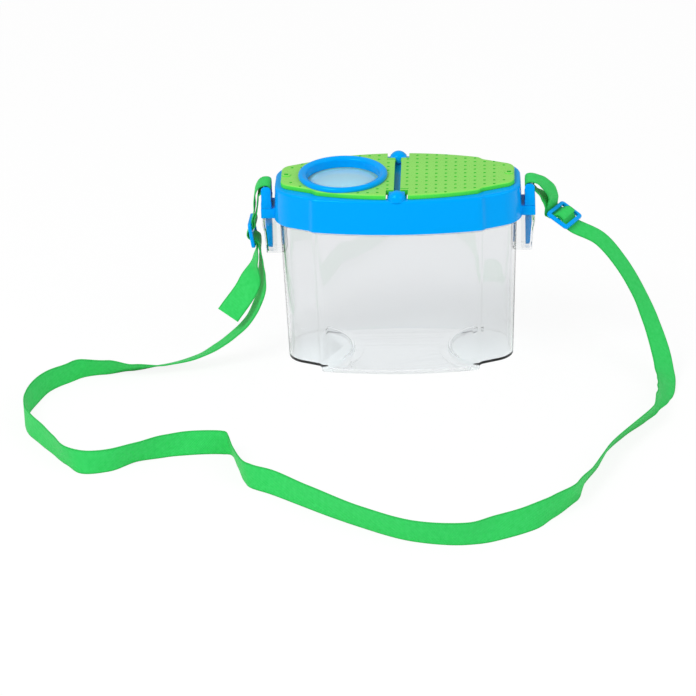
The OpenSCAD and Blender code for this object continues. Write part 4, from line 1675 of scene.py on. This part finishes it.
    def ribbon(self, stretch: Stretch) -> bpy.types.Object:
        """Sweeps the webbing's flat section along one stretch, with its weave's UV map.

        Args:
            stretch: the stretch.

        Returns:
            The closed ribbon.
        """
        w, t = self.width / 2, self.thick / 2
        edge = [(w, t * 0.35), (w - 0.18, t * 0.85), (w - 0.5, t), (w * 0.5, t)]
        side = edge + [(0, t)] + [(-a, b) for a, b in reversed(edge)]
        outline = side + [(-a, -b) for a, b in side]
        rows = self.frames(stretch)
        n = len(outline)
        mesh = bpy.data.meshes.new(stretch.name)
        verts = [(p + across * a + face * b) * MM for p, across, face, _ in rows for a, b in outline]
        faces = [
            (i * n + j, i * n + (j + 1) % n, (i + 1) * n + (j + 1) % n, (i + 1) * n + j)
            for i in range(len(rows) - 1)
            for j in range(n)
        ]
        faces += [tuple(range(n - 1, -1, -1)), tuple((len(rows) - 1) * n + j for j in range(n))]
        mesh.from_pydata(verts, [], faces)
        weave = mesh.uv_layers.new(name="weave")
        for polygon in mesh.polygons:
            for corner in polygon.loop_indices:
                row, j = divmod(mesh.loops[corner].vertex_index, n)
                weave.data[corner].uv = (outline[j][0], rows[row][3])
        obj = bpy.data.objects.new(stretch.name, mesh)
        bpy.context.scene.collection.objects.link(obj)
        Bench.lone(obj)
        bpy.ops.object.mode_set(mode="EDIT")
        bpy.ops.mesh.select_all(action="SELECT")
        bpy.ops.mesh.normals_make_consistent(inside=False)
        bpy.ops.object.mode_set(mode="OBJECT")
        return obj

    def build(self, pieces: dict[str, list[bpy.types.Object]]) -> None:
        """Builds and dresses every stretch of the strap.

        Args:
            pieces: the pieces that sit on a stretch, by the stretch's name.
        """
        for stretch in self.lay_out():
            obj = self.ribbon(stretch)
            path = [tuple(row[0] * MM) for row in self.frames(stretch)]
            lone_body = stretch.bodies[0] if len(stretch.bodies) == 1 else None
            Bench.hand_over(obj, Finish.WEBBING, lone_body, stretch.nodes, 60)
            if lone_body is None:
                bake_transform(obj)
            if stretch.goes_with:
                pieces.setdefault(stretch.goes_with, []).append(obj)
                continue


# ---------------------------------------------------------------- studio and camera


@dataclass
class Studio:
    """A plain white room: a pale floor, an even sky and two soft lamps.

    Attributes:
        floor_size: the floor's side, in metres.
        sky: the sky's strength as a lamp.
        gloss_sky: the sky's strength in reflections.
        clean: how much of the floor is plain white to the camera; the rest holds the shadow.
        clean_through: the same for the floor as it shows through the clear plastic.
        key: the front lamp's power, in watts.
        fill: the side lamp's power, in watts.
    """

    floor_size: float = 12.0
    sky: float = 0.58
    gloss_sky: float = 0.3
    clean: float = 0.9
    clean_through: float = 0.55
    key: float = 21.0
    fill: float = 7.0

    def floor(self) -> None:
        """Lays the floor: white to the camera, with a light shadow under the object."""
        bpy.ops.object.select_all(action="DESELECT")
        bpy.ops.mesh.primitive_plane_add(size=self.floor_size, location=(0, 0, 0))
        plane = bpy.context.object
        plane.name = "studio_floor"
        material = blank("studio_floor_white")
        tree = material.node_tree
        diffuse = add_node(tree, "BsdfDiffuse", {"Color": linear("#FAFAFA")})
        glow = add_node(tree, "Emission", {"Color": (1, 1, 1, 1), "Strength": 1.0})
        rays = add_node(tree, "LightPath", {})
        seen = compute(tree, "MULTIPLY", rays.outputs["Is Camera Ray"], self.clean)
        through = compute(tree, "MULTIPLY", rays.outputs["Is Transmission Ray"], self.clean_through)
        share = compute(tree, "MAXIMUM", seen, through)
        mix = add_node(tree, "MixShader", {0: share, 1: diffuse.outputs[0], 2: glow.outputs[0]})
        add_node(tree, "OutputMaterial", {"Surface": mix.outputs[0]})
        plane.data.materials.append(material)

    def world(self) -> None:
        """Makes the sky: an even light, plain white where it is seen and dimmer in reflections."""
        world = bpy.data.worlds.new("white_room")
        world.use_nodes = True
        tree = world.node_tree
        tree.nodes.clear()
        rays = add_node(tree, "LightPath", {})
        seen = compute(tree, "MAXIMUM", rays.outputs["Is Camera Ray"], rays.outputs["Is Transmission Ray"])
        lit = spread(tree, rays.outputs["Is Glossy Ray"], (0.0, 1.0), (self.sky, self.gloss_sky))
        strength = spread(tree, seen, (0.0, 1.0), (lit, 1.0))
        back = add_node(tree, "Background", {"Color": (1, 1, 1, 1), "Strength": strength})
        add_node(tree, "OutputWorld", {"Surface": back.outputs[0]})
        bpy.context.scene.world = world

    def lamp(self, name: str, place: Point3, size: float, power: float) -> None:
        """Hangs one soft square lamp that looks at the keeper.

        Args:
            name: the lamp's name.
            place: where it hangs, in metres.
            size: its side, in metres.
            power: its power, in watts.
        """
        bpy.ops.object.select_all(action="DESELECT")
        bpy.ops.object.light_add(type="AREA", location=place)
        lamp = bpy.context.object
        lamp.name = name
        lamp.data.energy, lamp.data.size = power, size
        lamp.rotation_euler = (Vector((0, 0, 0.08)) - Vector(place)).to_track_quat("-Z", "Y").to_euler()

    def build(self) -> None:
        """Builds the floor, the sky and the lamps."""
        self.floor()
        self.world()
        self.lamp("key_lamp", (-0.9, -0.9, 1.6), 0.9, self.key)
        self.lamp("fill_lamp", (1.3, -0.8, 1.1), 1.0, self.fill)
        bpy.context.scene.view_settings.view_transform = "Standard"


@dataclass
class PhotoCamera:
    """The camera, fitted to the photograph: 696 pixels square, about 3 m away and 23.5 degrees up."""

    distance: float = 3.0
    elevation: float = 23.5
    yaw: float = 1.5
    roll: float = 1.3
    focal_px: float = 4788.0
    frame_px: float = 696.0
    aim: Point3 = (0.0, 0.0, 0.06)
    aim_px: Point2 = (399.7, 264.8)

    def build(self) -> None:
        """Places the camera so that its axis meets the middle of the frame, with no lens shift."""
        el, yaw, roll = (math.radians(a) for a in (self.elevation, self.yaw, self.roll))
        back = Vector((math.sin(yaw) * math.cos(el), -math.cos(yaw) * math.cos(el), math.sin(el)))
        right = Vector((0, 0, 1)).cross(back).normalized()
        up = back.cross(right)
        right, up = right * math.cos(roll) - up * math.sin(roll), right * math.sin(roll) + up * math.cos(roll)
        half = self.frame_px / 2
        # the frame's middle is off the point that the fit aims at, so the view turns by that much
        ahead = (right * (half - self.aim_px[0]) - up * (half - self.aim_px[1])) / self.focal_px - back
        ahead.normalize()
        right = (right - ahead * right.dot(ahead)).normalized()
        up = right.cross(ahead)
        bpy.ops.object.select_all(action="DESELECT")
        bpy.ops.object.camera_add(location=Vector(self.aim) + back * self.distance)
        camera = bpy.context.object
        camera.name = "photo_camera"
        camera.data.lens = self.focal_px / self.frame_px * 36.0
        camera.data.sensor_width = 36.0
        camera.data.clip_start, camera.data.clip_end = 0.05, 60.0
        camera.rotation_euler = Matrix((right, up, -ahead)).transposed().to_euler()
        bpy.context.scene.camera = camera


def main() -> None:
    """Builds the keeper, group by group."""
    logging.basicConfig(level=logging.INFO, format="%(name)s: %(message)s")
    PhotoCamera().build()
    left = Slider(Side.LEFT, at=(-91.3, 0, 84.6), turn=(180, 82, -3))
    right = Slider(Side.RIGHT, at=(103.2, -2.5, 93.4), turn=(3, 28, -28))
    frames = {"webbing_loop_left": [left.build()], "webbing_loop_right": [right.build()]}
    Strap(left, right).build(frames)
    Tub().build()
    Collar().build()
    Flaps().build()
    Magnifier().build()
    for side in Side:
        StrapClip(side).build()
    Studio().build()


if __name__ == "__main__":
    main()
